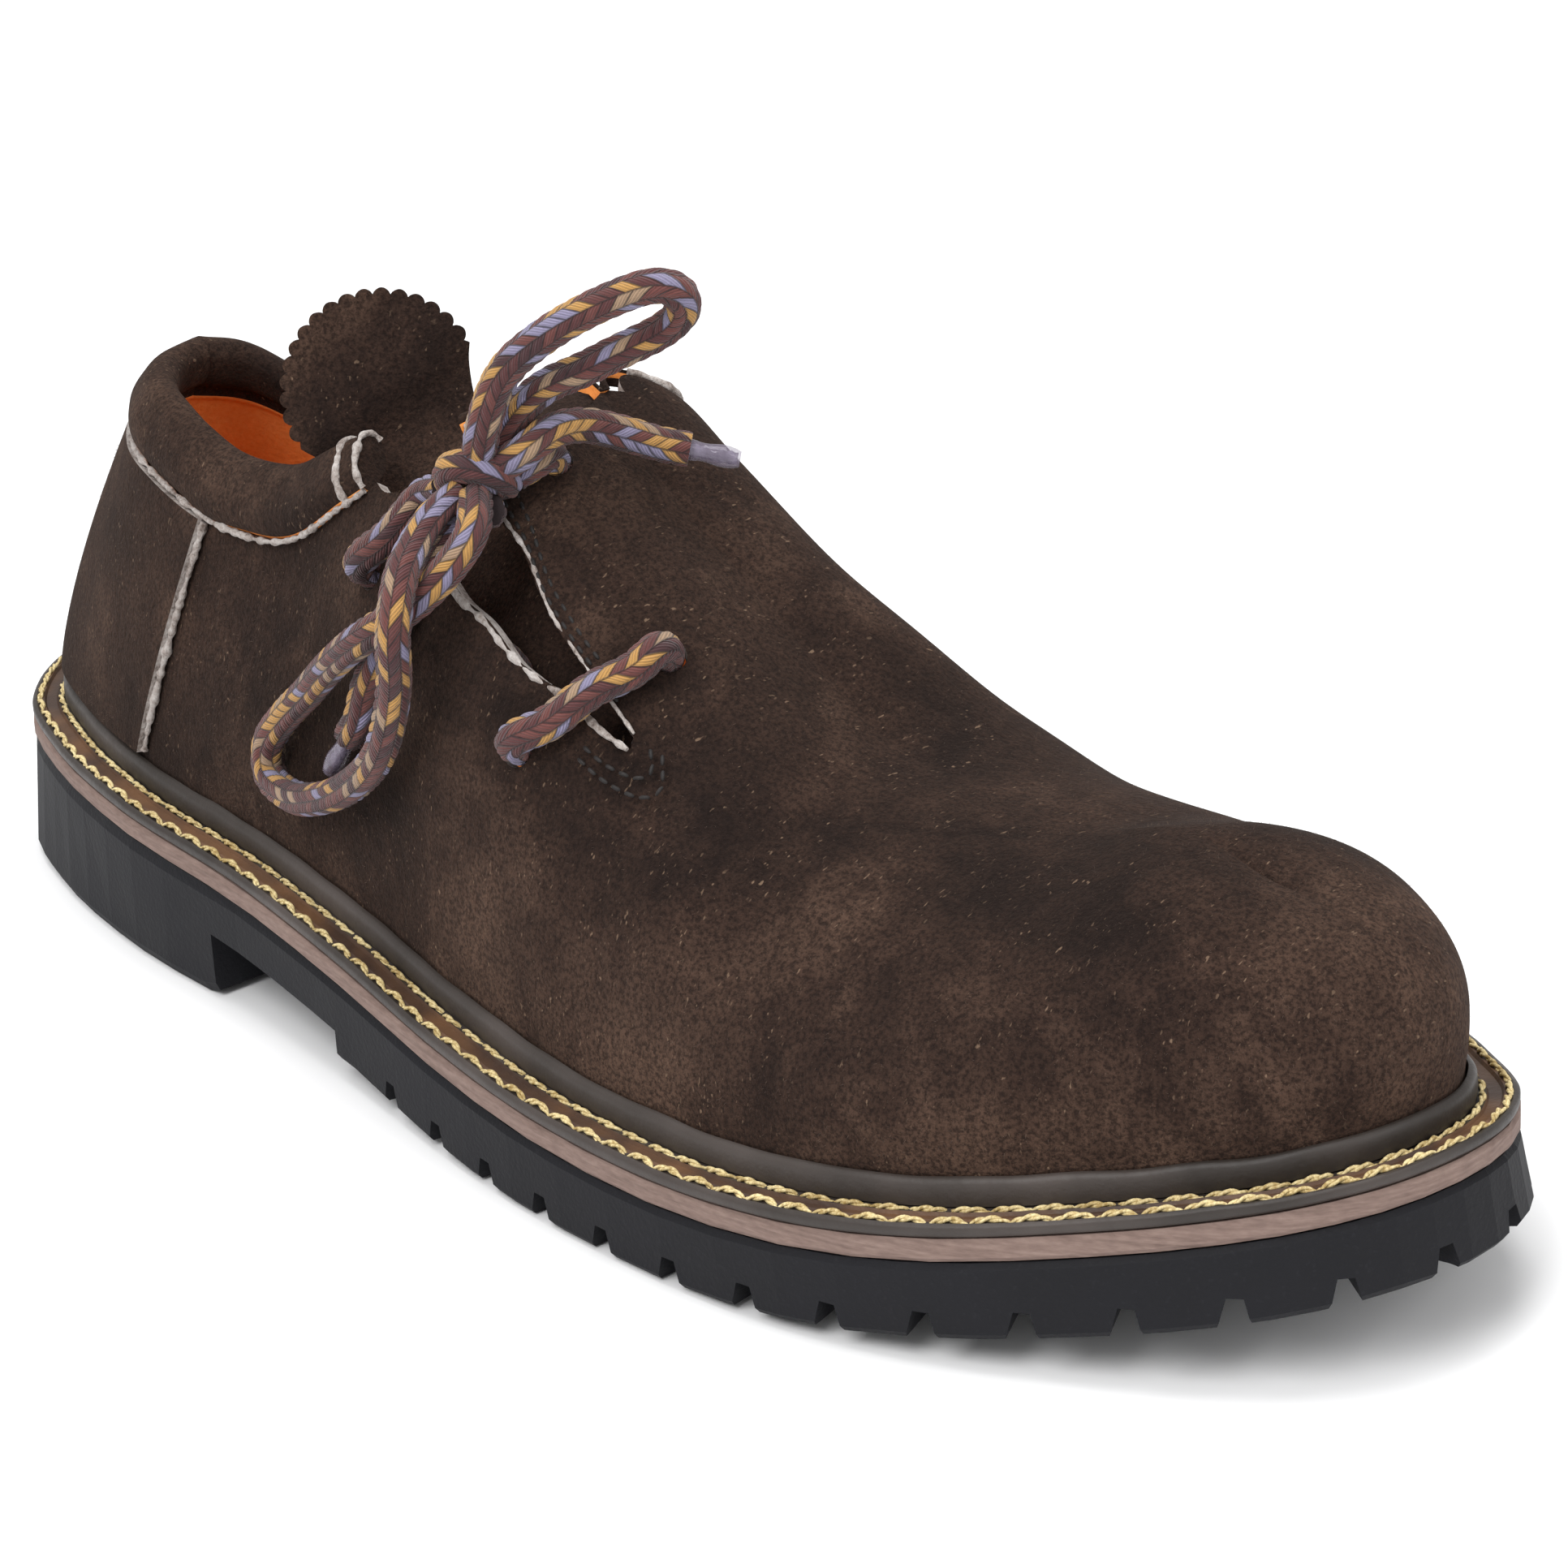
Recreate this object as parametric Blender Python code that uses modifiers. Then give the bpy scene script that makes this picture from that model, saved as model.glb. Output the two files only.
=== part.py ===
# Side-laced folk costume shoe, right foot, standing empty on its sole.
# +X points to the toe, -Y to the outer side of the foot, +Z up. The floor is z = 0
# and the origin lies under the middle of the sole.
import bmesh
import bpy
import math
import numpy as np

mm = 0.001

# Driving dimensions
outsoleLength = 306 * mm
ballWidth = 108 * mm
collarHeight = 86.5 * mm
instepHeight = 98 * mm
forefootRubber = 11.0 * mm
heelRise = 9.3 * mm
toeSpring = 13.9 * mm
slabThickness = 7.9 * mm
midsoleThickness = 3.3 * mm
weltThickness = 1.8 * mm
randHeight = 4.0 * mm
randThickness = 1.3 * mm
insoleThickness = 5.0 * mm
featherInset = 7.4 * mm
wall = 2.0 * mm
fitGap = 0.3 * mm
collarBand = 12.5 * mm
collarPadding = 2.6 * mm
counterThickness = 1.3 * mm
tongueThickness = 1.8 * mm
tongueHeadRadius = 15.6 * mm
tongueScallop = 1.0 * mm
laceDiameter = 4.8 * mm
eyeletSlack = 0.5 * mm
agletDiameter = 3.0 * mm
lugPitch = 13.9 * mm
lugGap = 2.3 * mm
lugGapTaper = 1.1 * mm
lugGapDepth = 4.0 * mm
lugGapReach = 15 * mm
treadBarGap = 5.0 * mm
wallFlare = 1.7 * mm
forefootLift = 3.2 * mm
counterGap = fitGap + 0.2 * mm
cutterReach = 7 * mm
tongueCrown = 20 * mm
outlineStep = 15 * mm
knotCoil = 0.78 * laceDiameter

# Sole outline: along as a share of the length, lateral and medial of the ball width
outlineRows = [
    (0.000, 0.000, 0.000),
    (0.007, -0.100, 0.112),
    (0.023, -0.166, 0.190),
    (0.056, -0.250, 0.276),
    (0.120, -0.326, 0.340),
    (0.215, -0.388, 0.367),
    (0.343, -0.407, 0.329),
    (0.440, -0.437, 0.308),
    (0.535, -0.477, 0.331),
    (0.600, -0.495, 0.382),
    (0.660, -0.498, 0.447),
    (0.735, -0.484, 0.500),
    (0.795, -0.450, 0.492),
    (0.850, -0.386, 0.464),
    (0.895, -0.306, 0.414),
    (0.935, -0.228, 0.345),
    (0.975, -0.124, 0.255),
    (0.993, -0.040, 0.175),
    (1.000, 0.068, 0.068),
]

# Where the heel lifts the foot and where the toe springs, as shares of the length
heelRampStart = 0.170
heelRampEnd = 0.683
springStart = 0.678
breastAlong = 0.314
forefootAlong = 0.431
ballStart = 0.610

# Top edge of each side, from the heel's middle at 0 to the toe's middle at 1 along the
# featherline: along is a share of the length, across of the ball width, up of the
# collar height (rows before the throat) or the instep height (rows after it)
# Columns: side, along, across, up, belly, roof, square
throat = 0.55
lateralTop = [
    (0.00, 0.130, 0.000, 1.010, 0.005, 0.00, 2.00),
    (0.10, 0.140, -0.084, 1.008, 0.005, 0.00, 2.00),
    (0.20, 0.179, -0.162, 0.998, 0.006, 0.02, 2.00),
    (0.30, 0.259, -0.200, 0.952, 0.008, 0.08, 2.00),
    (0.38, 0.317, -0.203, 0.964, 0.008, 0.20, 2.00),
    (0.45, 0.368, -0.184, 1.052, 0.008, 0.45, 2.00),
    (0.50, 0.404, -0.126, 1.080, 0.008, 0.80, 2.00),
]
medialTop = [
    (0.00, 0.130, 0.000, 1.010, 0.005, 0.00, 2.00),
    (0.10, 0.139, 0.077, 0.972, 0.006, 0.00, 2.00),
    (0.20, 0.186, 0.144, 0.890, 0.010, 0.02, 2.00),
    (0.30, 0.275, 0.184, 0.866, 0.011, 0.08, 2.00),
    (0.38, 0.348, 0.194, 0.900, 0.012, 0.22, 2.00),
    (0.45, 0.416, 0.178, 1.002, 0.011, 0.50, 2.00),
    (0.50, 0.462, 0.134, 1.108, 0.009, 0.80, 2.00),
]
ridgeTop = [
    (0.55, 0.463, 0.035, 1.000, 0.008, 1.00, 1.87),
    (0.60, 0.530, 0.006, 0.876, 0.008, 1.00, 1.86),
    (0.65, 0.595, 0.018, 0.751, 0.010, 1.00, 1.89),
    (0.70, 0.660, 0.026, 0.626, 0.014, 1.00, 1.94),
    (0.80, 0.775, 0.038, 0.574, 0.022, 1.00, 2.08),
    (0.90, 0.844, 0.054, 0.620, 0.028, 1.00, 2.28),
    (1.00, 0.895, 0.056, 0.588, 0.026, 1.00, 2.35),
]

# The lacing slit on the outer side: place along the side, then the height shares of the
# quarter's edge and of the vamp's edge there
overTop = 1.12
slitRows = [
    (0.4580, 0.900, overTop),
    (0.4640, 0.850, overTop),
    (0.4850, 0.798, overTop),
    (0.5010, 0.685, overTop),
    (0.5070, 0.637, overTop),
    (0.5085, 0.626, 0.970),
    (0.5180, 0.560, 0.800),
    (0.5310, 0.512, 0.660),
    (0.5462, 0.478, 0.607),
    (0.5656, 0.487, 0.576),
    (0.5861, 0.510, 0.568),
    (0.6090, 0.521, 0.560),
    (0.6214, 0.532, 0.552),
]
collarCorner = 0.455
vampCorner = 0.509

# Lace holes: place along the outer side and height share
eyeletRows = {
    "quarter_upper": (0.4554, 0.663),
    "quarter_lower": (0.5600, 0.379),
    "vamp_lower": (0.6246, 0.710),
    "vamp_upper": (0.5467, 0.768),
}

# Tongue from its front end to its top: place along the outer side and height share of the
# skin above it, depth under it in tongue depths, rise of the head and half width in head
# radii, and how far it turns from the skin towards the head's own facing
tongueRows = [
    (0.632, 0.560, 1.00, 0.00, 0.58, 0.0),
    (0.600, 0.555, 1.00, 0.00, 0.70, 0.0),
    (0.570, 0.560, 1.04, 0.00, 0.72, 0.0),
    (0.540, 0.600, 1.08, 0.00, 0.70, 0.0),
    (0.512, 0.720, 1.25, 0.00, 0.62, 0.1),
    (0.492, 0.900, 1.60, 0.22, 0.56, 0.5),
    (0.477, 1.050, 1.80, 0.66, 0.70, 0.9),
    (0.477, 1.050, 1.80, 1.20, 1.00, 1.0),
]
tongueFacing = (0.68, -0.64, 0.35)
tongueUpward = (-0.53, -0.16, 0.83)
scallopCount = 17

# Lace routes: place along the outer side, height share, and lift of the cord's middle off
# the skin in cord diameters
restLift = 0.62
quarterStrandRows = [
    (0.5031, 0.751, restLift),
    (0.4956, 0.723, restLift),
    (0.4862, 0.697, restLift),
]
barRows = [
    (0.5825, 0.452, restLift),
    (0.6018, 0.551, restLift),
    (0.6183, 0.644, restLift),
]
vampStrandRows = [
    (0.5433, 0.717, restLift),
]
knotRows = [
    (0.5257, 0.636, 1.42),
    (0.5304, 0.683, 1.42),
    (0.5338, 0.736, 1.42),
]
upperLoopRows = [
    (0.5388, 0.703, 3.06),
    (0.5412, 0.725, 3.77),
    (0.5436, 0.743, 4.43),
    (0.5471, 0.762, 5.26),
    (0.5513, 0.787, 6.27),
    (0.5596, 0.819, 7.14),
    (0.5671, 0.844, 7.69),
    (0.5722, 0.864, 7.54),
    (0.5743, 0.875, 6.98),
    (0.5732, 0.874, 6.26),
    (0.5697, 0.860, 5.64),
    (0.5626, 0.828, 4.93),
    (0.5530, 0.788, 4.05),
    (0.5470, 0.767, 3.24),
    (0.5426, 0.750, 2.48),
]
lowerLoopRows = [
    (0.5231, 0.620, 2.20),
    (0.5221, 0.586, 2.50),
    (0.5227, 0.544, 2.95),
    (0.5242, 0.500, 3.15),
    (0.5224, 0.466, 2.95),
    (0.5155, 0.432, 2.20),
    (0.5062, 0.394, 1.65),
    (0.4925, 0.344, 1.30),
    (0.4589, 0.283, 1.05),
    (0.4142, 0.224, 0.95),
    (0.3780, 0.196, 0.80),
    (0.3578, 0.217, 0.70),
    (0.3595, 0.286, 0.70),
    (0.3795, 0.370, 0.72),
    (0.4125, 0.439, 0.88),
    (0.4588, 0.486, 1.50),
    (0.4954, 0.505, 1.95),
    (0.5106, 0.514, 1.98),
    (0.5235, 0.527, 1.92),
    (0.5330, 0.557, 1.87),
    (0.5387, 0.589, 2.00),
]
frontEndRows = [
    (0.5463, 0.710, 2.00),
    (0.5490, 0.745, 2.00),
    (0.5559, 0.802, 1.70),
    (0.5700, 0.870, 1.50),
    (0.5825, 0.930, 1.45),
]
frontTipRow = (0.6089, 1.073, 2.22)
rearEndRows = [
    (0.5125, 0.644, 0.64),
    (0.5027, 0.591, 0.62),
    (0.4907, 0.535, 0.62),
    (0.4749, 0.480, 0.62),
    (0.4623, 0.435, 0.62),
    (0.4545, 0.387, 0.62),
]
rearTipRow = (0.4163, 0.279, 0.50)


def flow(knots, values, at, slopes=None):
    # A smooth curve through the rows of a table
    knots = np.asarray(knots, float)
    values = np.asarray(values, float)
    if slopes is None:
        slopes = np.gradient(values, knots, axis=0)
    at = np.clip(np.asarray(at, float), knots[0], knots[-1])
    row = np.clip(np.searchsorted(knots, at, side="right") - 1, 0, len(knots) - 2)
    span = knots[row + 1] - knots[row]
    u = (at - knots[row]) / span
    if values.ndim > 1:
        u = u[..., None]
        span = span[..., None]
    a = values[row]
    b = values[row + 1]
    rise = slopes[row] * span
    fall = slopes[row + 1] * span
    square = 3 * (b - a) - 2 * rise - fall
    cube = 2 * (a - b) + rise + fall
    return a + u * rise + u * u * square + u ** 3 * cube


def ease(value, start, end):
    share = np.clip((value - start) / (end - start), 0.0, 1.0)
    return share * share * (3 - 2 * share)


def unit(vectors):
    vectors = np.asarray(vectors, float)
    return vectors / np.maximum(np.linalg.norm(vectors, axis=-1, keepdims=True), 1e-12)


def alongX(share):
    return (share - 0.5) * outsoleLength


# The sole's outline as a dense closed loop, heel tip first, outer side first
def outlineLoop():
    lateral = [(alongX(a), l * ballWidth) for a, l, m in outlineRows]
    medial = [(alongX(a), m * ballWidth) for a, l, m in outlineRows[-2:0:-1]]
    points = np.array(lateral + medial)
    wrap = 4
    wrapped = np.vstack([points[-wrap:], points, points[:wrap + 1]])
    knots = np.concatenate([[0], np.cumsum(np.linalg.norm(np.diff(wrapped, axis=0), axis=1))])
    start = knots[wrap]
    end = knots[wrap + len(points)]
    perSide = 240
    toeKnot = knots[wrap + len(outlineRows) - 1]
    at = np.concatenate([np.linspace(start, toeKnot, perSide, endpoint=False),
                         np.linspace(toeKnot, end, perSide, endpoint=False)])
    loop = flow(knots, wrapped, at)
    loop[:, 1] -= (loop[:, 1].min() + loop[:, 1].max()) / 2
    return loop, perSide


soleLoop, toeIndex = outlineLoop()
loopTangent = unit(np.roll(soleLoop, -1, axis=0) - np.roll(soleLoop, 1, axis=0))
loopOutward = np.stack([loopTangent[:, 1], -loopTangent[:, 0]], axis=1)


# How far the rubber's foot stands out past its top: only round the heel and the toe
def flareShare(x):
    share = np.asarray(x, float) / outsoleLength + 0.5
    return 1 - ease(share, 0.05, 0.24) + ease(share, 0.82, 0.97)


def insetLoop(inset, flare=0.0):
    inset = inset - flare * flareShare(soleLoop[:, 0])
    return soleLoop - loopOutward * inset[:, None]


# One side of an inset outline, heel tip to toe tip; side is -1 outer, +1 inner
def insetSide(side, inset, flare=0.0):
    loop = insetLoop(inset, flare)
    if side < 0:
        return loop[:toeIndex + 1], loopOutward[:toeIndex + 1]
    order = np.concatenate([[0], np.arange(len(loop) - 1, toeIndex - 1, -1)])
    return loop[order], loopOutward[order]


def sidePoint(side, inset, shares):
    points, outward = insetSide(side, inset)
    run = np.concatenate([[0], np.cumsum(np.linalg.norm(np.diff(points, axis=0), axis=1))])
    run = run / run[-1]
    at = np.asarray(shares, float)
    place = np.stack([np.interp(at, run, points[:, k]) for k in range(2)], axis=-1)
    facing = np.stack([np.interp(at, run, outward[:, k]) for k in range(2)], axis=-1)
    return place, unit(facing)


def springAt(x):
    share = np.asarray(x, float) / outsoleLength + 0.5
    return toeSpring * np.clip((share - springStart) / (1 - springStart), 0, 1) ** 2


# The underside: flat at heel and ball, lifted a little where the forefoot starts
def groundAt(x):
    share = np.asarray(x, float) / outsoleLength + 0.5
    behind = np.clip((ballStart - share) / (ballStart - forefootAlong), 0, 1)
    return springAt(x) + forefootLift * behind ** 2 * (share > breastAlong)


def rubberTop(x):
    share = np.asarray(x, float) / outsoleLength + 0.5
    lift = heelRise * (1 - ease(share, heelRampStart, heelRampEnd))
    return forefootRubber + lift + springAt(x)


def midsoleTop(x):
    return rubberTop(x) + fitGap + midsoleThickness


def weltTop(x):
    return midsoleTop(x) + fitGap + weltThickness


def randTop(x):
    return weltTop(x) + fitGap + randHeight


# The table of one side's top edge, with the ridge that both sides share
def topTable(side):
    rows = np.array((lateralTop if side < 0 else medialTop) + ridgeTop)
    place = rows[:, 1:4].copy()
    place[:, 0] = alongX(rows[:, 1])
    place[:, 1] = rows[:, 2] * ballWidth
    behind = rows[:, 0] < throat
    place[:, 2] = rows[:, 3] * np.where(behind, collarHeight, instepHeight)
    values = np.hstack([place, rows[:, 4:7]])
    slopes = np.gradient(values, rows[:, 0], axis=0)
    first = int(np.sum(behind))
    slopes[first] = (values[first + 1] - values[first]) / (rows[first + 1, 0] - rows[first, 0])
    return rows[:, 0], values, slopes


# The upper's outer skin: t runs along the side from heel to toe, f up from the rand
def skin(side, t, f):
    t = np.asarray(t, float)
    f = np.asarray(f, float)
    t, f = np.broadcast_arrays(t, f)
    foot, outward = sidePoint(side, featherInset, t)
    knots, values, slopes = topTable(side)
    top = flow(knots, values, t, slopes)
    belly = top[..., 3] * ballWidth
    roof = top[..., 4]
    power = 2.0 / top[..., 5]
    base = randTop(foot[..., 0])
    angle = np.clip(f, 0, 1) * math.pi / 2
    roofIn = 1 - np.cos(angle) ** power
    roofUp = np.sin(angle) ** power
    over = np.maximum(f - 1, 0)
    wallIn = np.maximum(f, 0) ** 1.25
    wallUp = f
    inward = (1 - roof) * wallIn + roof * (roofIn + over)
    up = (1 - roof) * wallUp + roof * roofUp
    swell = np.sin(np.clip(f, 0, 1) * math.pi) ** 1.0 * belly
    x = foot[..., 0] + (top[..., 0] - foot[..., 0]) * inward + outward[..., 0] * swell
    y = foot[..., 1] + (top[..., 1] - foot[..., 1]) * inward + outward[..., 1] * swell
    z = base + (top[..., 2] - base) * up
    return np.stack([x, y, z], axis=-1)


def skinFrame(side, t, f):
    # Place, outward normal and upward direction at a point of the skin
    step = 0.004
    f = np.clip(np.asarray(f, float), 0.02, 0.985)
    here = skin(side, t, f)
    t = np.asarray(t, float)
    ahead = skin(side, np.clip(t + step, 0, 1), f) - skin(side, np.clip(t - step, 0, 1), f)
    up = unit(skin(side, t, f + step) - skin(side, t, f - step))
    normal = unit(np.cross(ahead, up)) * -side
    return here, normal, up


def skinOffset(side, t, f, out):
    place = skin(side, t, f)
    normal = skinFrame(side, t, f)[1]
    return place + normal * out


# The height share at which the collar's band starts; the band narrows towards the throat
bandNarrowing = 0.8


def bandShare(side, t):
    foot = skin(side, t, 0.0)
    top = skin(side, t, 1.0)
    width = collarBand * (1 - bandNarrowing * ease(np.asarray(t, float), 0.44, 0.54))
    return 1 - width / np.linalg.norm(top - foot, axis=-1)


# Scene, materials and small mesh helpers
for old in list(bpy.data.objects):
    bpy.data.objects.remove(old)

partsCollection = bpy.data.collections.new("folk_shoe")
bpy.context.scene.collection.children.link(partsCollection)
cuttersCollection = bpy.data.collections.new("cutters")
bpy.context.scene.collection.children.link(cuttersCollection)


def material(name, colour, roughness):
    made = bpy.data.materials.new(name)
    made.use_nodes = True
    shader = made.node_tree.nodes["Principled BSDF"]
    shader.inputs["Base Color"].default_value = (*colour, 1)
    shader.inputs["Roughness"].default_value = roughness
    shader.inputs["Metallic"].default_value = 0.0
    return made


rubber = material("black_rubber", (0.014, 0.014, 0.017), 0.55)
bandLeather = material("midsole_leather", (0.20, 0.14, 0.12), 0.7)
weltLeather = material("welt_leather", (0.045, 0.040, 0.037), 0.5)
suede = material("brown_suede", (0.045, 0.028, 0.020), 0.95)
footbed = material("tan_footbed", (0.45, 0.17, 0.045), 0.8)
braid = material("braided_lace", (0.12, 0.045, 0.035), 0.85)
clearTip = material("clear_tip", (0.30, 0.27, 0.30), 0.15)


def meshObject(name, vertices, faces, finish, collection=None):
    mesh = bpy.data.meshes.new(name)
    mesh.from_pydata([tuple(map(float, v)) for v in vertices], [], faces)
    shape = bmesh.new()
    shape.from_mesh(mesh)
    bmesh.ops.remove_doubles(shape, verts=shape.verts, dist=0.00002)
    bmesh.ops.recalc_face_normals(shape, faces=shape.faces)
    shape.to_mesh(mesh)
    shape.free()
    made = bpy.data.objects.new(name, mesh)
    (collection or partsCollection).objects.link(made)
    if finish:
        mesh.materials.append(finish)
    if collection is cuttersCollection:
        made.hide_render = True
        made.display_type = "WIRE"
    return made


def smoothShade(made, degrees=40):
    made.data.shade_smooth()
    made.data.set_sharp_from_angle(angle=math.radians(degrees))


def cutWith(target, cutter, crossing=False):
    cut = target.modifiers.new("cut_" + cutter.name, "BOOLEAN")
    cut.operation = "DIFFERENCE"
    cut.object = cutter
    cut.solver = "EXACT"
    cut.use_self = crossing


# A tube or bar lofted through rings of points; the rings may close on themselves
def loft(name, rings, finish, closedLoop=False, collection=None):
    rings = np.asarray(rings)
    count, size = rings.shape[:2]
    faces = []
    last = count if closedLoop else count - 1
    for i in range(last):
        j = (i + 1) % count
        for k in range(size):
            m = (k + 1) % size
            faces.append((i * size + k, i * size + m, j * size + m, j * size + k))
    if not closedLoop:
        faces.append(tuple(range(size)))
        faces.append(tuple(range((count - 1) * size, count * size)))
    return meshObject(name, rings.reshape(-1, 3), faces, finish, collection)


# A layer of the sole: levels are rows of height share, inset and flare, bottom to top
def soleLayer(name, levels, bottom, top, finish, stations=36, along=(0.0, 1.0), collection=None):
    turn = np.linspace(0, math.pi, stations)
    share = along[0] + (along[1] - along[0]) * (0.5 - 0.5 * np.cos(turn))
    rings = []
    for height, inset, flare in levels:
        ring = []
        for side in (-1, 1):
            points = insetSide(side, inset, flare)[0]
            x = np.interp(share, np.linspace(0, 1, 2), points[[0, -1], 0])
            y = np.interp(x, points[:, 0], points[:, 1])
            z = bottom(x) + (top(x) - bottom(x)) * height
            ring.append(np.stack([x, y, z], axis=1))
        rings.append(ring)
    vertices = np.concatenate([side for ring in rings for side in ring])
    faces = []

    def at(level, side, station):
        return (level * 2 + side) * stations + station

    for i in range(stations - 1):
        for level in range(len(levels) - 1):
            for side in range(2):
                faces.append((at(level, side, i), at(level, side, i + 1),
                              at(level + 1, side, i + 1), at(level + 1, side, i)))
        for level in (0, len(levels) - 1):
            faces.append((at(level, 0, i), at(level, 0, i + 1), at(level, 1, i + 1), at(level, 1, i)))
    for station, share in ((0, along[0]), (stations - 1, 1 - along[1])):
        if share > 0:
            outer = [at(level, 0, station) for level in range(len(levels))]
            inner = [at(level, 1, station) for level in range(len(levels) - 1, -1, -1)]
            faces.append(tuple(outer + inner))
    made = meshObject(name, vertices, faces, finish, collection)
    shape = bmesh.new()
    shape.from_mesh(made.data)
    bmesh.ops.dissolve_degenerate(shape, edges=shape.edges, dist=0.00001)
    flat = [f for f in shape.faces if f.calc_area() < 1e-12]
    bmesh.ops.delete(shape, geom=flat, context="FACES")
    bmesh.ops.triangulate(shape, faces=shape.faces)
    bmesh.ops.recalc_face_normals(shape, faces=shape.faces)
    shape.to_mesh(made.data)
    shape.free()
    return made


# Points of the outline, closer together where it turns
def loopPicks(count):
    steps = np.linalg.norm(np.roll(soleLoop, -1, axis=0) - soleLoop, axis=1)
    bend = np.abs(np.cross(loopTangent, np.roll(loopTangent, -1, axis=0)))
    outlineTurn = math.radians(9)
    weight = np.concatenate([[0], np.cumsum(steps / outlineStep + bend / outlineTurn)])
    marks = np.arange(count) / count * weight[-1]
    return [int(i) for i in np.searchsorted(weight, marks)]


# A strip swept around the whole sole: section rows are inset and height over the base
def soleRing(name, section, base, finish, count=64):
    rings = []
    picks = loopPicks(count)
    for inset, height in section:
        loop = insetLoop(inset)[picks]
        z = base(loop[:, 0]) + height
        rings.append(np.column_stack([loop, z]))
    rings = np.stack(rings, axis=1)
    return loft(name, rings, finish, closedLoop=True)


# A bar from start along reach, its foot wider than its top by the taper on each side
def barRings(start, reach, width, low, high, taper):
    start = np.asarray(start, float)
    reach = np.asarray(reach, float)
    across = unit(np.array([-reach[1], reach[0]]))
    half = width / 2
    rings = []
    for end in (start, start + reach):
        corners = []
        for offset, z in ((-half - taper, low), (half + taper, low), (half, high), (-half, high)):
            point = end + across * offset
            corners.append((point[0], point[1], z))
        rings.append(corners)
    return rings


# Outsole: rubber slab with heel block, arch and lugs
def makeOutsole():
    edge = 0.7 * mm
    rows = [(0.0, edge, wallFlare), (0.08, 0.0, wallFlare), (0.92, 0.0, 0.0), (1.0, edge, 0.0)]
    body = soleLayer("outsole", rows, groundAt, rubberTop, rubber, stations=42)
    beyond = 8 * mm
    arch = soleLayer("arch_cutter", [(0.0, -beyond, 0.0), (1.0, -beyond, 0.0)],
                     lambda x: groundAt(x) - 2 * beyond, lambda x: rubberTop(x) - slabThickness,
                     None, stations=10, along=(breastAlong, forefootAlong), collection=cuttersCollection)
    cutWith(body, arch)
    vertices = []
    faces = []

    def addBar(rings):
        base = len(vertices)
        for ring in rings:
            vertices.extend(ring)
        for k in range(4):
            m = (k + 1) % 4
            faces.append((base + k, base + m, base + 4 + m, base + 4 + k))
        faces.append((base, base + 1, base + 2, base + 3))
        faces.append((base + 4, base + 5, base + 6, base + 7))

    # The edge gaps follow the whole outline from the forefoot's outer start to its inner start
    foot = insetLoop(0.0)
    run = np.concatenate([[0], np.cumsum(np.linalg.norm(np.diff(foot, axis=0), axis=1))])
    firstX = alongX(forefootAlong)
    begin = np.interp(firstX, foot[:toeIndex, 0], run[:toeIndex])
    finish = np.interp(-firstX, -foot[toeIndex:, 0], run[toeIndex:])
    gapCentre = lugGap / 2 + lugGapTaper
    for at in np.arange(begin + lugPitch + gapCentre, finish - lugPitch * 0.6, lugPitch):
        place = np.array([np.interp(at, run, foot[:, k]) for k in range(2)])
        facing = unit(np.array([np.interp(at, run, loopOutward[:, k]) for k in range(2)]))
        outside = wallFlare + 2 * mm
        ground = float(groundAt(place[0]))
        addBar(barRings(place + facing * outside, -facing * (lugGapReach + outside), lugGap,
                        ground - lugGapDepth, ground + lugGapDepth, lugGapTaper * 2))
    barCount = 6
    barStart = forefootAlong + 0.055
    barStep = 0.072
    for row in range(barCount):
        x = alongX(barStart + row * barStep)
        ground = float(groundAt(x))
        edges = [np.interp(x, *insetSide(side, 0.0)[0].T) for side in (-1, 1)]
        low = edges[0] + lugGapReach + treadBarGap
        high = edges[1] - lugGapReach - treadBarGap
        addBar(barRings((x, low), (0, high - low), treadBarGap,
                        ground - lugGapDepth, ground + lugGapDepth, lugGapTaper))
    gaps = meshObject("lug_gaps", vertices, faces, None, cuttersCollection)
    cutWith(body, gaps, crossing=True)
    smoothShade(body, 30)


def makeSoleStack():
    edge = 0.5 * mm
    rows = [(0.0, edge, 0.0), (0.2, 0.0, 0.0), (0.8, 0.0, 0.0), (1.0, edge, 0.0)]
    midsole = soleLayer("midsole", rows, lambda x: rubberTop(x) + fitGap, midsoleTop, bandLeather)
    smoothShade(midsole)
    grooveOut = 3.4 * mm
    grooveIn = 4.6 * mm
    grooveDepth = 0.5 * mm
    slope = 0.3 * mm
    innerEdge = featherInset + wall
    weltSection = [
        (edge, 0.0), (edge, weltThickness - edge), (2 * edge, weltThickness),
        (grooveOut, weltThickness), (grooveOut + slope, weltThickness - grooveDepth),
        (grooveIn - slope, weltThickness - grooveDepth), (grooveIn, weltThickness),
        (innerEdge, weltThickness), (innerEdge, 0.0),
    ]
    welt = soleRing("welt", weltSection, lambda x: midsoleTop(x) + fitGap, weltLeather)
    smoothShade(welt)
    randIn = featherInset - fitGap
    randOut = randIn - randThickness
    randSection = [
        (randOut, 0.0), (randOut, 0.55 * randHeight), (randOut + 0.4 * randThickness, 0.9 * randHeight),
        (randIn - 0.25 * randThickness, randHeight), (randIn, 0.93 * randHeight), (randIn, 0.0),
    ]
    rand = soleRing("rand", randSection, lambda x: weltTop(x) + fitGap, weltLeather)
    smoothShade(rand)
    bedInset = featherInset + wall + 3 * fitGap
    bedRows = [(0.0, bedInset, 0.0), (0.75, bedInset, 0.0), (1.0, bedInset + 2 * edge, 0.0)]
    insole = soleLayer("insole", bedRows, lambda x: midsoleTop(x) + fitGap,
                       lambda x: midsoleTop(x) + fitGap + insoleThickness, footbed, stations=30)
    smoothShade(insole)


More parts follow.
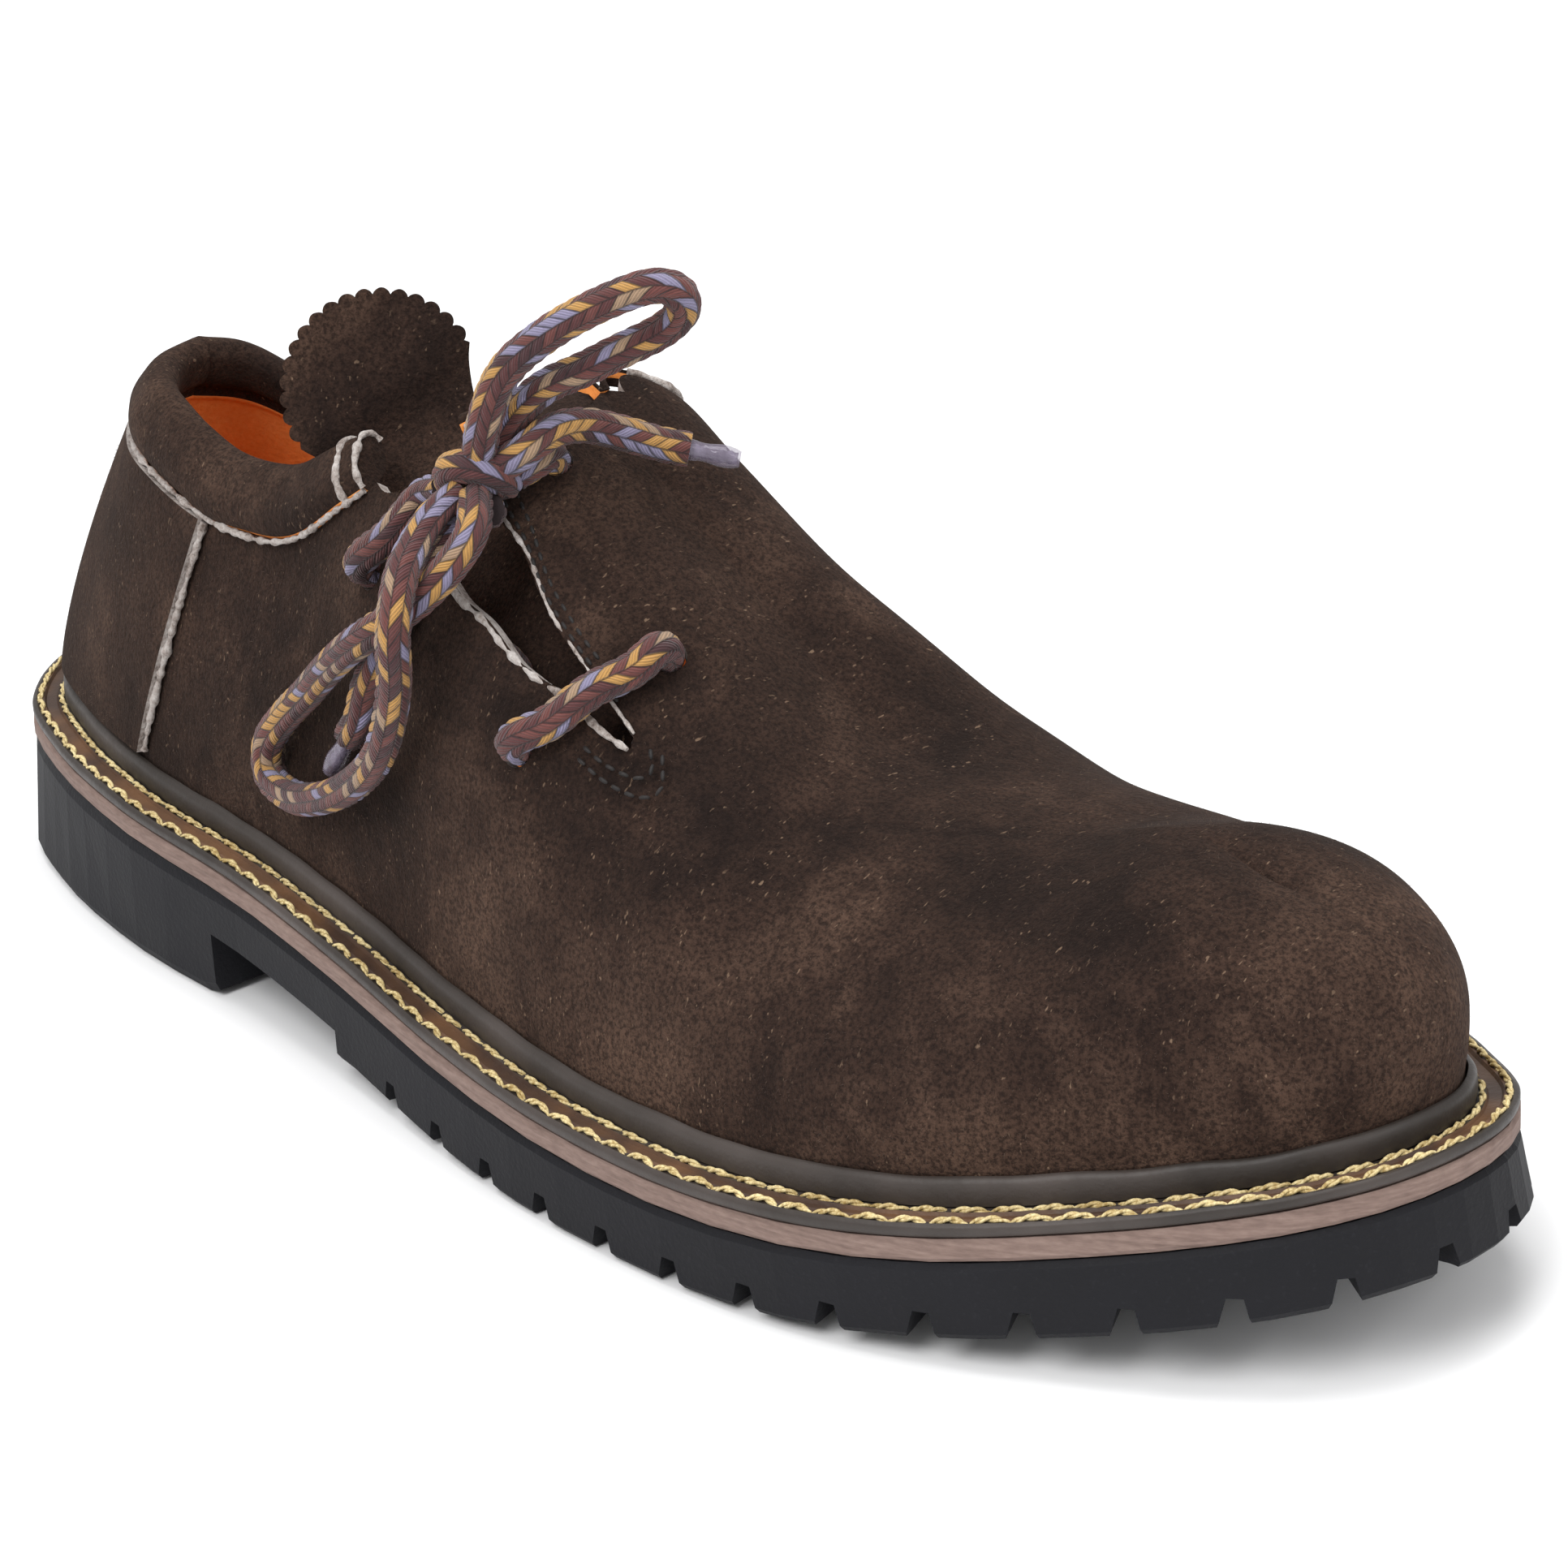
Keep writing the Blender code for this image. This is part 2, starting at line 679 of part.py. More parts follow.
# Where each side's ribs stand, closer round the heel and the toe, and the rows of the grid
ribShares = np.concatenate([np.linspace(0, 0.12, 8)[:-1], np.linspace(0.12, throat, 15),
                            np.linspace(throat + 0.005, 0.86, 10)[:-1], np.linspace(0.86, 1.0, 9)])
rowShares = np.array([0.0, 0.10, 0.22, 0.36, 0.50, 0.64, 0.78, 0.90, 1.0])


# The collar band covers the edge up to the throat, so the skin stops under it there
def skinTop(side, t):
    return np.where(t < throat + 1e-6, bandShare(side, t) - 0.03 * ease(t, 0.46, 0.52), 1.0)


def makeUpper():
    grids = {}
    for side in (-1, 1):
        columns = []
        for t in ribShares:
            stop = float(skinTop(side, t))
            foot = sidePoint(side, featherInset, t)[0]
            floor = [foot[0], foot[1], float(weltTop(foot[0])) + fitGap]
            ribs = skin(side, t, rowShares * stop)
            columns.append(np.vstack([floor, ribs]))
        grids[side] = np.array(columns)
    vertices = []
    faces = []
    for side in (-1, 1):
        grid = grids[side]
        base = len(vertices)
        ribs, rows = grid.shape[:2]
        vertices.extend(grid.reshape(-1, 3))
        for i in range(ribs - 1):
            for k in range(rows - 1):
                a = base + i * rows + k
                b = base + (i + 1) * rows + k
                faces.append((a, b, b + 1, a + 1))
    upper = meshObject("upper", vertices, faces, suede)
    shell = upper.modifiers.new("leather", "SOLIDIFY")
    shell.thickness = wall
    shell.offset = -1
    shell.use_even_offset = True
    cutWith(upper, openingCutter())
    smoothShade(upper, 50)


# One cutter for the slit and the four lace holes
def openingCutter():
    vertices = []
    faces = []

    def addRings(rings):
        base = len(vertices)
        size = len(rings[0])
        for ring in rings:
            vertices.extend(ring)
        for i in range(len(rings) - 1):
            for k in range(size):
                m = (k + 1) % size
                a = base + i * size
                faces.append((a + k, a + m, a + size + m, a + size + k))
        faces.append(tuple(base + k for k in range(size)))
        faces.append(tuple(base + (len(rings) - 1) * size + k for k in range(size)))

    slit = []
    for t, low, high in slitRows:
        shares = np.array([low, high])
        outer = skinOffset(-1, t, shares, cutterReach)
        inner = skinOffset(-1, t, shares, -cutterReach)
        slit.append([outer[0], outer[1], inner[1], inner[0]])
    addRings(slit)
    radius = laceDiameter / 2 + eyeletSlack
    turns = np.arange(12) / 12 * math.tau
    for t, f in eyeletRows.values():
        here, normal, up = (v[0] for v in skinFrame(-1, np.array([t]), np.array([f])))
        aside = np.cross(normal, up)
        circle = [up * math.cos(a) * radius + aside * math.sin(a) * radius for a in turns]
        addRings([[here + spoke + normal * out for spoke in circle] for out in (2 * wall, -3 * wall)])
    return meshObject("opening_cutter", vertices, faces, None, cuttersCollection)


# Counter: the heel panel over the upper; its front edges lean forward as they rise
counterFoot = 0.218
counterLean = 0.079


def makeCounter():
    steps = 25
    columns = []
    for s in np.linspace(-1, 1, steps):
        side = 1 if s > 0 else -1
        reach = abs(s) * (counterFoot + counterLean)
        stop = float(bandShare(side, reach)) - 0.014
        rows = np.linspace(0.02, stop, 8)
        t = abs(s) * (counterFoot + counterLean * rows)
        columns.append(skinOffset(side, t, rows, counterGap + counterThickness))
    grid = np.array(columns)
    rows = grid.shape[1]
    faces = []
    for i in range(steps - 1):
        for k in range(rows - 1):
            a = i * rows + k
            faces.append((a, a + rows, a + rows + 1, a + 1))
    counter = meshObject("counter", grid.reshape(-1, 3), faces, suede)
    shell = counter.modifiers.new("leather", "SOLIDIFY")
    shell.thickness = counterThickness
    shell.offset = -1
    shell.use_even_offset = True
    smoothShade(counter, 50)


# Collar: the padded roll that closes the top edge, from the vamp's corner round the
# inner side and the heel to the quarter's corner
def makeCollar():
    mouth = ribShares[ribShares < throat - 1e-6]
    stops = [(-1, vampCorner)] + [(-1, t) for t in mouth if t > vampCorner + 0.004] + [(-1, throat)]
    stops += [(1, throat)] + [(1, t) for t in mouth[::-1]]
    stops += [(-1, t) for t in mouth[1:] if t < collarCorner - 0.004] + [(-1, collarCorner)]
    rings = []
    for side, t in stops:
        low = float(bandShare(side, t))
        here, normal, up = skinFrame(side, t, low)
        crest = skin(side, t, 1.0)
        reach = crest - here
        height = np.linalg.norm(reach)
        rise = reach / height
        out = unit(normal - rise * np.dot(normal, rise))
        thick = collarPadding * (1 - 0.72 * float(ease(t, 0.40, throat)))
        lap = fitGap * 1.6
        ring = []
        section = [
            (0.4 * thick, lap), (0.95 * thick, 0.25 * height), (0.9 * thick, 0.65 * height),
            (0.2 * thick, 0.94 * height), (-0.5 * wall, height), (-wall - 0.7 * thick, 0.93 * height),
            (-wall - 1.4 * thick, 0.65 * height), (-wall - 1.4 * thick, 0.3 * height),
            (-wall - 0.2 * thick, lap),
        ]
        for outBy, upBy in section:
            if upBy == lap:
                ring.append(here + normal * outBy + up * upBy)
            else:
                ring.append(here + out * outBy + rise * upBy)
        rings.append(ring)
    collar = loft("collar", rings, suede)
    smoothShade(collar, 50)


# Tongue: a strip under the slit that ends in a round pinked head
tongueDepth = wall + laceDiameter + 7 * fitGap + tongueThickness / 2


def tongueFrame(a):
    rows = np.array(tongueRows)
    knots = np.linspace(0, 1, len(rows))

    def centre(at):
        t, f, depth, rise, half, turn = flow(knots, rows, at)
        under = skinOffset(-1, np.array([t]), np.array([f]), -depth * tongueDepth)[0]
        return under + unit(tongueUpward) * rise * tongueHeadRadius

    step = 0.02
    t, f, depth, rise, half, turn = flow(knots, rows, a)
    along = unit(centre(min(a + step, 1)) - centre(max(a - step, 0)))
    skinFacing = skinFrame(-1, np.array([t]), np.array([f]))[1][0]
    face = unit(skinFacing * (1 - turn) + unit(tongueFacing) * turn)
    face = unit(face - along * np.dot(face, along))
    return centre(a), along, np.cross(along, face), face, half * tongueHeadRadius


def makeTongue():
    lengthSteps = 14
    spread = (0.0, 0.5, 1.0)

    def place(a, offset, beyond=0.0):
        spot, along, across, face, half = tongueFrame(a)
        drop = offset ** 2 / (2 * tongueCrown) * (1 - 0.85 * ease(a, 0.5, 0.9))
        return spot + across * offset + along * beyond - face * drop

    sides = []
    for direction in (-1, 1):
        side = []
        for i in range(lengthSteps):
            a = i / lengthSteps
            half = tongueFrame(a)[4]
            side.append([place(a, direction * half * v) for v in spread])
        sides.append(side)
    head = []
    headSteps = scallopCount * 3
    for i in range(headSteps + 1):
        share = i / headSteps
        turn = math.pi * (share - 0.5)
        notch = abs(math.sin(scallopCount * math.pi * share)) ** 0.7
        radius = tongueHeadRadius - tongueScallop * (1 - notch)
        head.append([place(1.0, math.sin(turn) * radius * v, math.cos(turn) * radius * v) for v in spread])
    columns = sides[0] + head + sides[1][::-1]
    vertices = [point for column in columns for point in column]
    faces = []
    for i in range(len(columns) - 1):
        for k in range(2):
            a = i * 3 + k
            faces.append((a, a + 3, a + 4, a + 1))
    tongue = meshObject("tongue", vertices, faces, suede)
    shape = bmesh.new()
    shape.from_mesh(tongue.data)
    bmesh.ops.dissolve_degenerate(shape, edges=shape.edges, dist=0.00001)
    bmesh.ops.recalc_face_normals(shape, faces=shape.faces)
    shape.to_mesh(tongue.data)
    shape.free()
    shell = tongue.modifiers.new("leather", "SOLIDIFY")
    shell.thickness = tongueThickness
    shell.offset = 0
    smoothShade(tongue, 50)


# Lace: every strand is a round cord along a smooth route
def onSkin(rows):
    rows = np.array(rows)
    return skinOffset(-1, rows[:, 0], rows[:, 1], rows[:, 2, None] * laceDiameter)


def smoothRoute(route, soften=0.6):
    # Points close together where the cord turns, further apart where it runs straight
    route = np.asarray(route)
    knots = np.concatenate([[0], np.cumsum(np.linalg.norm(np.diff(route, axis=0), axis=1))])
    steps = 900
    dense = flow(knots, route, np.linspace(0, knots[-1], steps))
    window = max(1, int(soften * laceDiameter / knots[-1] * steps / 2))
    ends = np.vstack([2 * dense[0] - dense[window:0:-1], dense, 2 * dense[-1] - dense[-2:-window - 2:-1]])
    dense = np.mean([ends[k:k + steps] for k in range(2 * window + 1)], axis=0)
    kept = [dense[0]]
    last = unit(dense[1] - dense[0])
    run = 0.0
    for before, here in zip(dense[:-1], dense[1:]):
        run += np.linalg.norm(here - before)
        heading = unit(here - before)
        turned = math.degrees(math.acos(min(1.0, float(np.dot(last, heading)))))
        if turned > 19 or run > 2 * laceDiameter:
            kept.append(here)
            last = heading
            run = 0.0
    if np.linalg.norm(dense[-1] - kept[-1]) < 0.3 * laceDiameter:
        kept.pop()
    kept.append(dense[-1])
    return np.array(kept)


def cord(name, points, diameter, finish, sides=2):
    line = bpy.data.curves.new(name + "_line", "CURVE")
    line.dimensions = "3D"
    line.bevel_depth = diameter / 2
    line.bevel_resolution = sides
    line.use_fill_caps = True
    spline = line.splines.new("POLY")
    spline.points.add(len(points) - 1)
    for point, place in zip(spline.points, points):
        point.co = (*map(float, place), 1)
    drawn = bpy.data.objects.new(name + "_line", line)
    partsCollection.objects.link(drawn)
    bpy.context.view_layer.update()
    mesh = bpy.data.meshes.new_from_object(drawn)
    bpy.data.objects.remove(drawn)
    shape = bmesh.new()
    shape.from_mesh(mesh)
    bmesh.ops.remove_doubles(shape, verts=shape.verts, dist=0.000001)
    bmesh.ops.recalc_face_normals(shape, faces=shape.faces)
    shape.to_mesh(mesh)
    shape.free()
    mesh.name = name
    made = bpy.data.objects.new(name, mesh)
    partsCollection.objects.link(made)
    mesh.materials.clear()
    mesh.materials.append(finish)
    smoothShade(made, 50)


# A quarter turn of the cord's route from the skin into a hole, or out of it inside
def holeTurn(name, towards, outside):
    t, f = eyeletRows[name]
    here, normal, up = (v[0] for v in skinFrame(-1, np.array([t]), np.array([f])))
    bend = restLift * laceDiameter + fitGap
    away = np.asarray(towards) - here
    away = unit(away - normal * np.dot(away, normal))
    centre = here + away * bend
    sign = 1
    if not outside:
        centre = centre - normal * wall
        sign = -1
    turns = np.radians([90, 60, 30, 0])
    points = [centre + (normal * sign * math.sin(a) - away * math.cos(a)) * bend for a in turns]
    return points if outside else points[::-1]


def makeLace():
    hole = {name: skin(-1, np.array([t]), np.array([f]))[0] for name, (t, f) in eyeletRows.items()}
    strand = onSkin(quarterStrandRows)
    bar = onSkin(barRows)
    vampStrand = onSkin(vampStrandRows)

    def inside(first, second):
        # The run between two holes on the inner side of the leather
        (t0, f0), (t1, f1) = eyeletRows[first], eyeletRows[second]
        shares = np.linspace(0, 1, 5)[1:-1]
        depth = wall + restLift * laceDiameter + 3 * fitGap
        return list(skinOffset(-1, t0 + (t1 - t0) * shares, f0 + (f1 - f0) * shares, -depth))

    route = list(strand)
    route += holeTurn("quarter_upper", strand[-1], True)
    route += holeTurn("quarter_upper", hole["quarter_lower"], False)
    route += inside("quarter_upper", "quarter_lower")
    route += holeTurn("quarter_lower", hole["quarter_upper"], False)[::-1]
    route += holeTurn("quarter_lower", bar[0], True)[::-1]
    route += list(bar)
    route += holeTurn("vamp_lower", bar[-1], True)
    route += holeTurn("vamp_lower", hole["vamp_upper"], False)
    route += inside("vamp_lower", "vamp_upper")
    route += holeTurn("vamp_upper", hole["vamp_lower"], False)[::-1]
    route += holeTurn("vamp_upper", vampStrand[0], True)[::-1]
    cord("lace_crossings", smoothRoute(route), laceDiameter, braid)

    axisPoints = onSkin(knotRows)
    axis = unit(axisPoints[-1] - axisPoints[0])
    facing = skinFrame(-1, np.array([knotRows[1][0]]), np.array([knotRows[1][1]]))[1][0]
    facing = unit(facing - axis * np.dot(facing, axis))
    aside = np.cross(axis, facing)
    pitch = laceDiameter + fitGap
    knot = []
    for turn in np.linspace(-0.68, 0.68, 17):
        spoke = facing * math.cos(math.tau * turn) + aside * math.sin(math.tau * turn)
        knot.append(axisPoints[1] + axis * pitch * turn + spoke * knotCoil)
    cord("lace_knot", knot, laceDiameter, braid)

    cord("lace_loop_upper", smoothRoute(onSkin(upperLoopRows), 1.4), laceDiameter, braid)
    cord("lace_loop_lower", smoothRoute(onSkin(lowerLoopRows), 1.4), laceDiameter, braid)
    for name, rows, tipRow in (("front", frontEndRows, frontTipRow), ("rear", rearEndRows, rearTipRow)):
        route = onSkin(rows)
        tip = onSkin([tipRow])[0]
        heading = unit(tip - route[-1])
        half = route[-1] + heading * laceDiameter / 2
        straight = route[-1] + heading * laceDiameter
        points = list(smoothRoute(list(route) + [half])) + [straight]
        cord("lace_end_" + name, points, laceDiameter, braid)
        cord("aglet_" + name, [straight + heading * fitGap, tip], agletDiameter, clearTip, sides=3)


makeOutsole()
makeSoleStack()
makeUpper()
makeCounter()
makeCollar()
makeTongue()
makeLace()
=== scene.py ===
# Side-laced folk costume shoe, right foot: the looks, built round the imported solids.
import bmesh
import bpy
import math
import numpy as np
from mathutils import Matrix, Vector


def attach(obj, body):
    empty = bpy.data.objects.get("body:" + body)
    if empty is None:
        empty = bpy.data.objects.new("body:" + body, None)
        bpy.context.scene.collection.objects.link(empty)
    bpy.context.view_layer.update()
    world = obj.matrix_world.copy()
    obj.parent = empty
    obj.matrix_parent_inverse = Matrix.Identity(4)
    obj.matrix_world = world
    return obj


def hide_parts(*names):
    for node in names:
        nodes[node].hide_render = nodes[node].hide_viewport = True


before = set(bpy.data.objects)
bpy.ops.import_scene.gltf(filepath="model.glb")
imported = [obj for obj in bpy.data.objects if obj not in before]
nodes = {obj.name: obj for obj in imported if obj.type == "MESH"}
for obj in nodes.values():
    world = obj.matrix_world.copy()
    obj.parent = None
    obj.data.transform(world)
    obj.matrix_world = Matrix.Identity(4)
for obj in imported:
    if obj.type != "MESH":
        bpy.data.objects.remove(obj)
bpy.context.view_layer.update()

mm = 0.001

# Driving dimensions
outsoleLength = 306 * mm
ballWidth = 108 * mm
collarHeight = 86.5 * mm
instepHeight = 98 * mm
forefootRubber = 11.0 * mm
heelRise = 9.3 * mm
toeSpring = 13.9 * mm
slabThickness = 7.9 * mm
midsoleThickness = 3.3 * mm
weltThickness = 1.8 * mm
randHeight = 4.0 * mm
randThickness = 1.3 * mm
insoleThickness = 5.0 * mm
featherInset = 7.4 * mm
wall = 2.0 * mm
fitGap = 0.3 * mm
collarBand = 12.5 * mm
collarPadding = 2.6 * mm
counterThickness = 1.3 * mm
tongueThickness = 1.8 * mm
tongueHeadRadius = 15.6 * mm
tongueScallop = 1.0 * mm
laceDiameter = 4.8 * mm
eyeletSlack = 0.5 * mm
agletDiameter = 3.0 * mm
lugPitch = 13.9 * mm
lugGap = 2.3 * mm
lugGapTaper = 1.1 * mm
lugGapDepth = 4.0 * mm
lugGapReach = 15 * mm
treadBarGap = 5.0 * mm
wallFlare = 1.7 * mm
forefootLift = 3.2 * mm
counterGap = fitGap + 0.2 * mm
cutterReach = 7 * mm
tongueCrown = 20 * mm
outlineStep = 15 * mm
knotCoil = 0.78 * laceDiameter

# Sole outline: along as a share of the length, lateral and medial of the ball width
outlineRows = [
    (0.000, 0.000, 0.000),
    (0.007, -0.100, 0.112),
    (0.023, -0.166, 0.190),
    (0.056, -0.250, 0.276),
    (0.120, -0.326, 0.340),
    (0.215, -0.388, 0.367),
    (0.343, -0.407, 0.329),
    (0.440, -0.437, 0.308),
    (0.535, -0.477, 0.331),
    (0.600, -0.495, 0.382),
    (0.660, -0.498, 0.447),
    (0.735, -0.484, 0.500),
    (0.795, -0.450, 0.492),
    (0.850, -0.386, 0.464),
    (0.895, -0.306, 0.414),
    (0.935, -0.228, 0.345),
    (0.975, -0.124, 0.255),
    (0.993, -0.040, 0.175),
    (1.000, 0.068, 0.068),
]

# Where the heel lifts the foot and where the toe springs, as shares of the length
heelRampStart = 0.170
heelRampEnd = 0.683
springStart = 0.678
breastAlong = 0.314
forefootAlong = 0.431
ballStart = 0.610

# Top edge of each side, from the heel's middle at 0 to the toe's middle at 1 along the
# featherline: along is a share of the length, across of the ball width, up of the
# collar height (rows before the throat) or the instep height (rows after it)
# Columns: side, along, across, up, belly, roof, square
throat = 0.55
lateralTop = [
    (0.00, 0.130, 0.000, 1.010, 0.005, 0.00, 2.00),
    (0.10, 0.140, -0.084, 1.008, 0.005, 0.00, 2.00),
    (0.20, 0.179, -0.162, 0.998, 0.006, 0.02, 2.00),
    (0.30, 0.259, -0.200, 0.952, 0.008, 0.08, 2.00),
    (0.38, 0.317, -0.203, 0.964, 0.008, 0.20, 2.00),
    (0.45, 0.368, -0.184, 1.052, 0.008, 0.45, 2.00),
    (0.50, 0.404, -0.126, 1.080, 0.008, 0.80, 2.00),
]
medialTop = [
    (0.00, 0.130, 0.000, 1.010, 0.005, 0.00, 2.00),
    (0.10, 0.139, 0.077, 0.972, 0.006, 0.00, 2.00),
    (0.20, 0.186, 0.144, 0.890, 0.010, 0.02, 2.00),
    (0.30, 0.275, 0.184, 0.866, 0.011, 0.08, 2.00),
    (0.38, 0.348, 0.194, 0.900, 0.012, 0.22, 2.00),
    (0.45, 0.416, 0.178, 1.002, 0.011, 0.50, 2.00),
    (0.50, 0.462, 0.134, 1.108, 0.009, 0.80, 2.00),
]
ridgeTop = [
    (0.55, 0.463, 0.035, 1.000, 0.008, 1.00, 1.87),
    (0.60, 0.530, 0.006, 0.876, 0.008, 1.00, 1.86),
    (0.65, 0.595, 0.018, 0.751, 0.010, 1.00, 1.89),
    (0.70, 0.660, 0.026, 0.626, 0.014, 1.00, 1.94),
    (0.80, 0.775, 0.038, 0.574, 0.022, 1.00, 2.08),
    (0.90, 0.844, 0.054, 0.620, 0.028, 1.00, 2.28),
    (1.00, 0.895, 0.056, 0.588, 0.026, 1.00, 2.35),
]

# The lacing slit on the outer side: place along the side, then the height shares of the
# quarter's edge and of the vamp's edge there
overTop = 1.12
slitRows = [
    (0.4580, 0.900, overTop),
    (0.4640, 0.850, overTop),
    (0.4850, 0.798, overTop),
    (0.5010, 0.685, overTop),
    (0.5070, 0.637, overTop),
    (0.5085, 0.626, 0.970),
    (0.5180, 0.560, 0.800),
    (0.5310, 0.512, 0.660),
    (0.5462, 0.478, 0.607),
    (0.5656, 0.487, 0.576),
    (0.5861, 0.510, 0.568),
    (0.6090, 0.521, 0.560),
    (0.6214, 0.532, 0.552),
]
collarCorner = 0.455
vampCorner = 0.509

# Lace holes: place along the outer side and height share
eyeletRows = {
    "quarter_upper": (0.4554, 0.663),
    "quarter_lower": (0.5600, 0.379),
    "vamp_lower": (0.6246, 0.710),
    "vamp_upper": (0.5467, 0.768),
}

# Tongue from its front end to its top: place along the outer side and height share of the
# skin above it, depth under it in tongue depths, rise of the head and half width in head
# radii, and how far it turns from the skin towards the head's own facing
tongueRows = [
    (0.632, 0.560, 1.00, 0.00, 0.58, 0.0),
    (0.600, 0.555, 1.00, 0.00, 0.70, 0.0),
    (0.570, 0.560, 1.04, 0.00, 0.72, 0.0),
    (0.540, 0.600, 1.08, 0.00, 0.70, 0.0),
    (0.512, 0.720, 1.25, 0.00, 0.62, 0.1),
    (0.492, 0.900, 1.60, 0.22, 0.56, 0.5),
    (0.477, 1.050, 1.80, 0.66, 0.70, 0.9),
    (0.477, 1.050, 1.80, 1.20, 1.00, 1.0),
]
tongueFacing = (0.68, -0.64, 0.35)
tongueUpward = (-0.53, -0.16, 0.83)
scallopCount = 17

# Lace routes: place along the outer side, height share, and lift of the cord's middle off
# the skin in cord diameters
restLift = 0.62
quarterStrandRows = [
    (0.5031, 0.751, restLift),
    (0.4956, 0.723, restLift),
    (0.4862, 0.697, restLift),
]
barRows = [
    (0.5825, 0.452, restLift),
    (0.6018, 0.551, restLift),
    (0.6183, 0.644, restLift),
]
vampStrandRows = [
    (0.5433, 0.717, restLift),
]
knotRows = [
    (0.5257, 0.636, 1.42),
    (0.5304, 0.683, 1.42),
    (0.5338, 0.736, 1.42),
]
upperLoopRows = [
    (0.5388, 0.703, 3.06),
    (0.5412, 0.725, 3.77),
    (0.5436, 0.743, 4.43),
    (0.5471, 0.762, 5.26),
    (0.5513, 0.787, 6.27),
    (0.5596, 0.819, 7.14),
    (0.5671, 0.844, 7.69),
    (0.5722, 0.864, 7.54),
    (0.5743, 0.875, 6.98),
    (0.5732, 0.874, 6.26),
    (0.5697, 0.860, 5.64),
    (0.5626, 0.828, 4.93),
    (0.5530, 0.788, 4.05),
    (0.5470, 0.767, 3.24),
    (0.5426, 0.750, 2.48),
]
lowerLoopRows = [
    (0.5231, 0.620, 2.20),
    (0.5221, 0.586, 2.50),
    (0.5227, 0.544, 2.95),
    (0.5242, 0.500, 3.15),
    (0.5224, 0.466, 2.95),
    (0.5155, 0.432, 2.20),
    (0.5062, 0.394, 1.65),
    (0.4925, 0.344, 1.30),
    (0.4589, 0.283, 1.05),
    (0.4142, 0.224, 0.95),
    (0.3780, 0.196, 0.80),
    (0.3578, 0.217, 0.70),
    (0.3595, 0.286, 0.70),
    (0.3795, 0.370, 0.72),
    (0.4125, 0.439, 0.88),
    (0.4588, 0.486, 1.50),
    (0.4954, 0.505, 1.95),
    (0.5106, 0.514, 1.98),
    (0.5235, 0.527, 1.92),
    (0.5330, 0.557, 1.87),
    (0.5387, 0.589, 2.00),
]
frontEndRows = [
    (0.5463, 0.710, 2.00),
    (0.5490, 0.745, 2.00),
    (0.5559, 0.802, 1.70),
    (0.5700, 0.870, 1.50),
    (0.5825, 0.930, 1.45),
]
frontTipRow = (0.6089, 1.073, 2.22)
rearEndRows = [
    (0.5125, 0.644, 0.64),
    (0.5027, 0.591, 0.62),
    (0.4907, 0.535, 0.62),
    (0.4749, 0.480, 0.62),
    (0.4623, 0.435, 0.62),
    (0.4545, 0.387, 0.62),
]
rearTipRow = (0.4163, 0.279, 0.50)


def flow(knots, values, at, slopes=None):
    # A smooth curve through the rows of a table
    knots = np.asarray(knots, float)
    values = np.asarray(values, float)
    if slopes is None:
        slopes = np.gradient(values, knots, axis=0)
    at = np.clip(np.asarray(at, float), knots[0], knots[-1])
    row = np.clip(np.searchsorted(knots, at, side="right") - 1, 0, len(knots) - 2)
    span = knots[row + 1] - knots[row]
    u = (at - knots[row]) / span
    if values.ndim > 1:
        u = u[..., None]
        span = span[..., None]
    a = values[row]
    b = values[row + 1]
    rise = slopes[row] * span
    fall = slopes[row + 1] * span
    square = 3 * (b - a) - 2 * rise - fall
    cube = 2 * (a - b) + rise + fall
    return a + u * rise + u * u * square + u ** 3 * cube


def ease(value, start, end):
    share = np.clip((value - start) / (end - start), 0.0, 1.0)
    return share * share * (3 - 2 * share)


def unit(vectors):
    vectors = np.asarray(vectors, float)
    return vectors / np.maximum(np.linalg.norm(vectors, axis=-1, keepdims=True), 1e-12)


def alongX(share):
    return (share - 0.5) * outsoleLength


# The sole's outline as a dense closed loop, heel tip first, outer side first
def outlineLoop():
    lateral = [(alongX(a), l * ballWidth) for a, l, m in outlineRows]
    medial = [(alongX(a), m * ballWidth) for a, l, m in outlineRows[-2:0:-1]]
    points = np.array(lateral + medial)
    wrap = 4
    wrapped = np.vstack([points[-wrap:], points, points[:wrap + 1]])
    knots = np.concatenate([[0], np.cumsum(np.linalg.norm(np.diff(wrapped, axis=0), axis=1))])
    start = knots[wrap]
    end = knots[wrap + len(points)]
    perSide = 240
    toeKnot = knots[wrap + len(outlineRows) - 1]
    at = np.concatenate([np.linspace(start, toeKnot, perSide, endpoint=False),
                         np.linspace(toeKnot, end, perSide, endpoint=False)])
    loop = flow(knots, wrapped, at)
    loop[:, 1] -= (loop[:, 1].min() + loop[:, 1].max()) / 2
    return loop, perSide


soleLoop, toeIndex = outlineLoop()
loopTangent = unit(np.roll(soleLoop, -1, axis=0) - np.roll(soleLoop, 1, axis=0))
loopOutward = np.stack([loopTangent[:, 1], -loopTangent[:, 0]], axis=1)


# How far the rubber's foot stands out past its top: only round the heel and the toe
def flareShare(x):
    share = np.asarray(x, float) / outsoleLength + 0.5
    return 1 - ease(share, 0.05, 0.24) + ease(share, 0.82, 0.97)


def insetLoop(inset, flare=0.0):
    inset = inset - flare * flareShare(soleLoop[:, 0])
    return soleLoop - loopOutward * inset[:, None]


# One side of an inset outline, heel tip to toe tip; side is -1 outer, +1 inner
def insetSide(side, inset, flare=0.0):
    loop = insetLoop(inset, flare)
    if side < 0:
        return loop[:toeIndex + 1], loopOutward[:toeIndex + 1]
    order = np.concatenate([[0], np.arange(len(loop) - 1, toeIndex - 1, -1)])
    return loop[order], loopOutward[order]


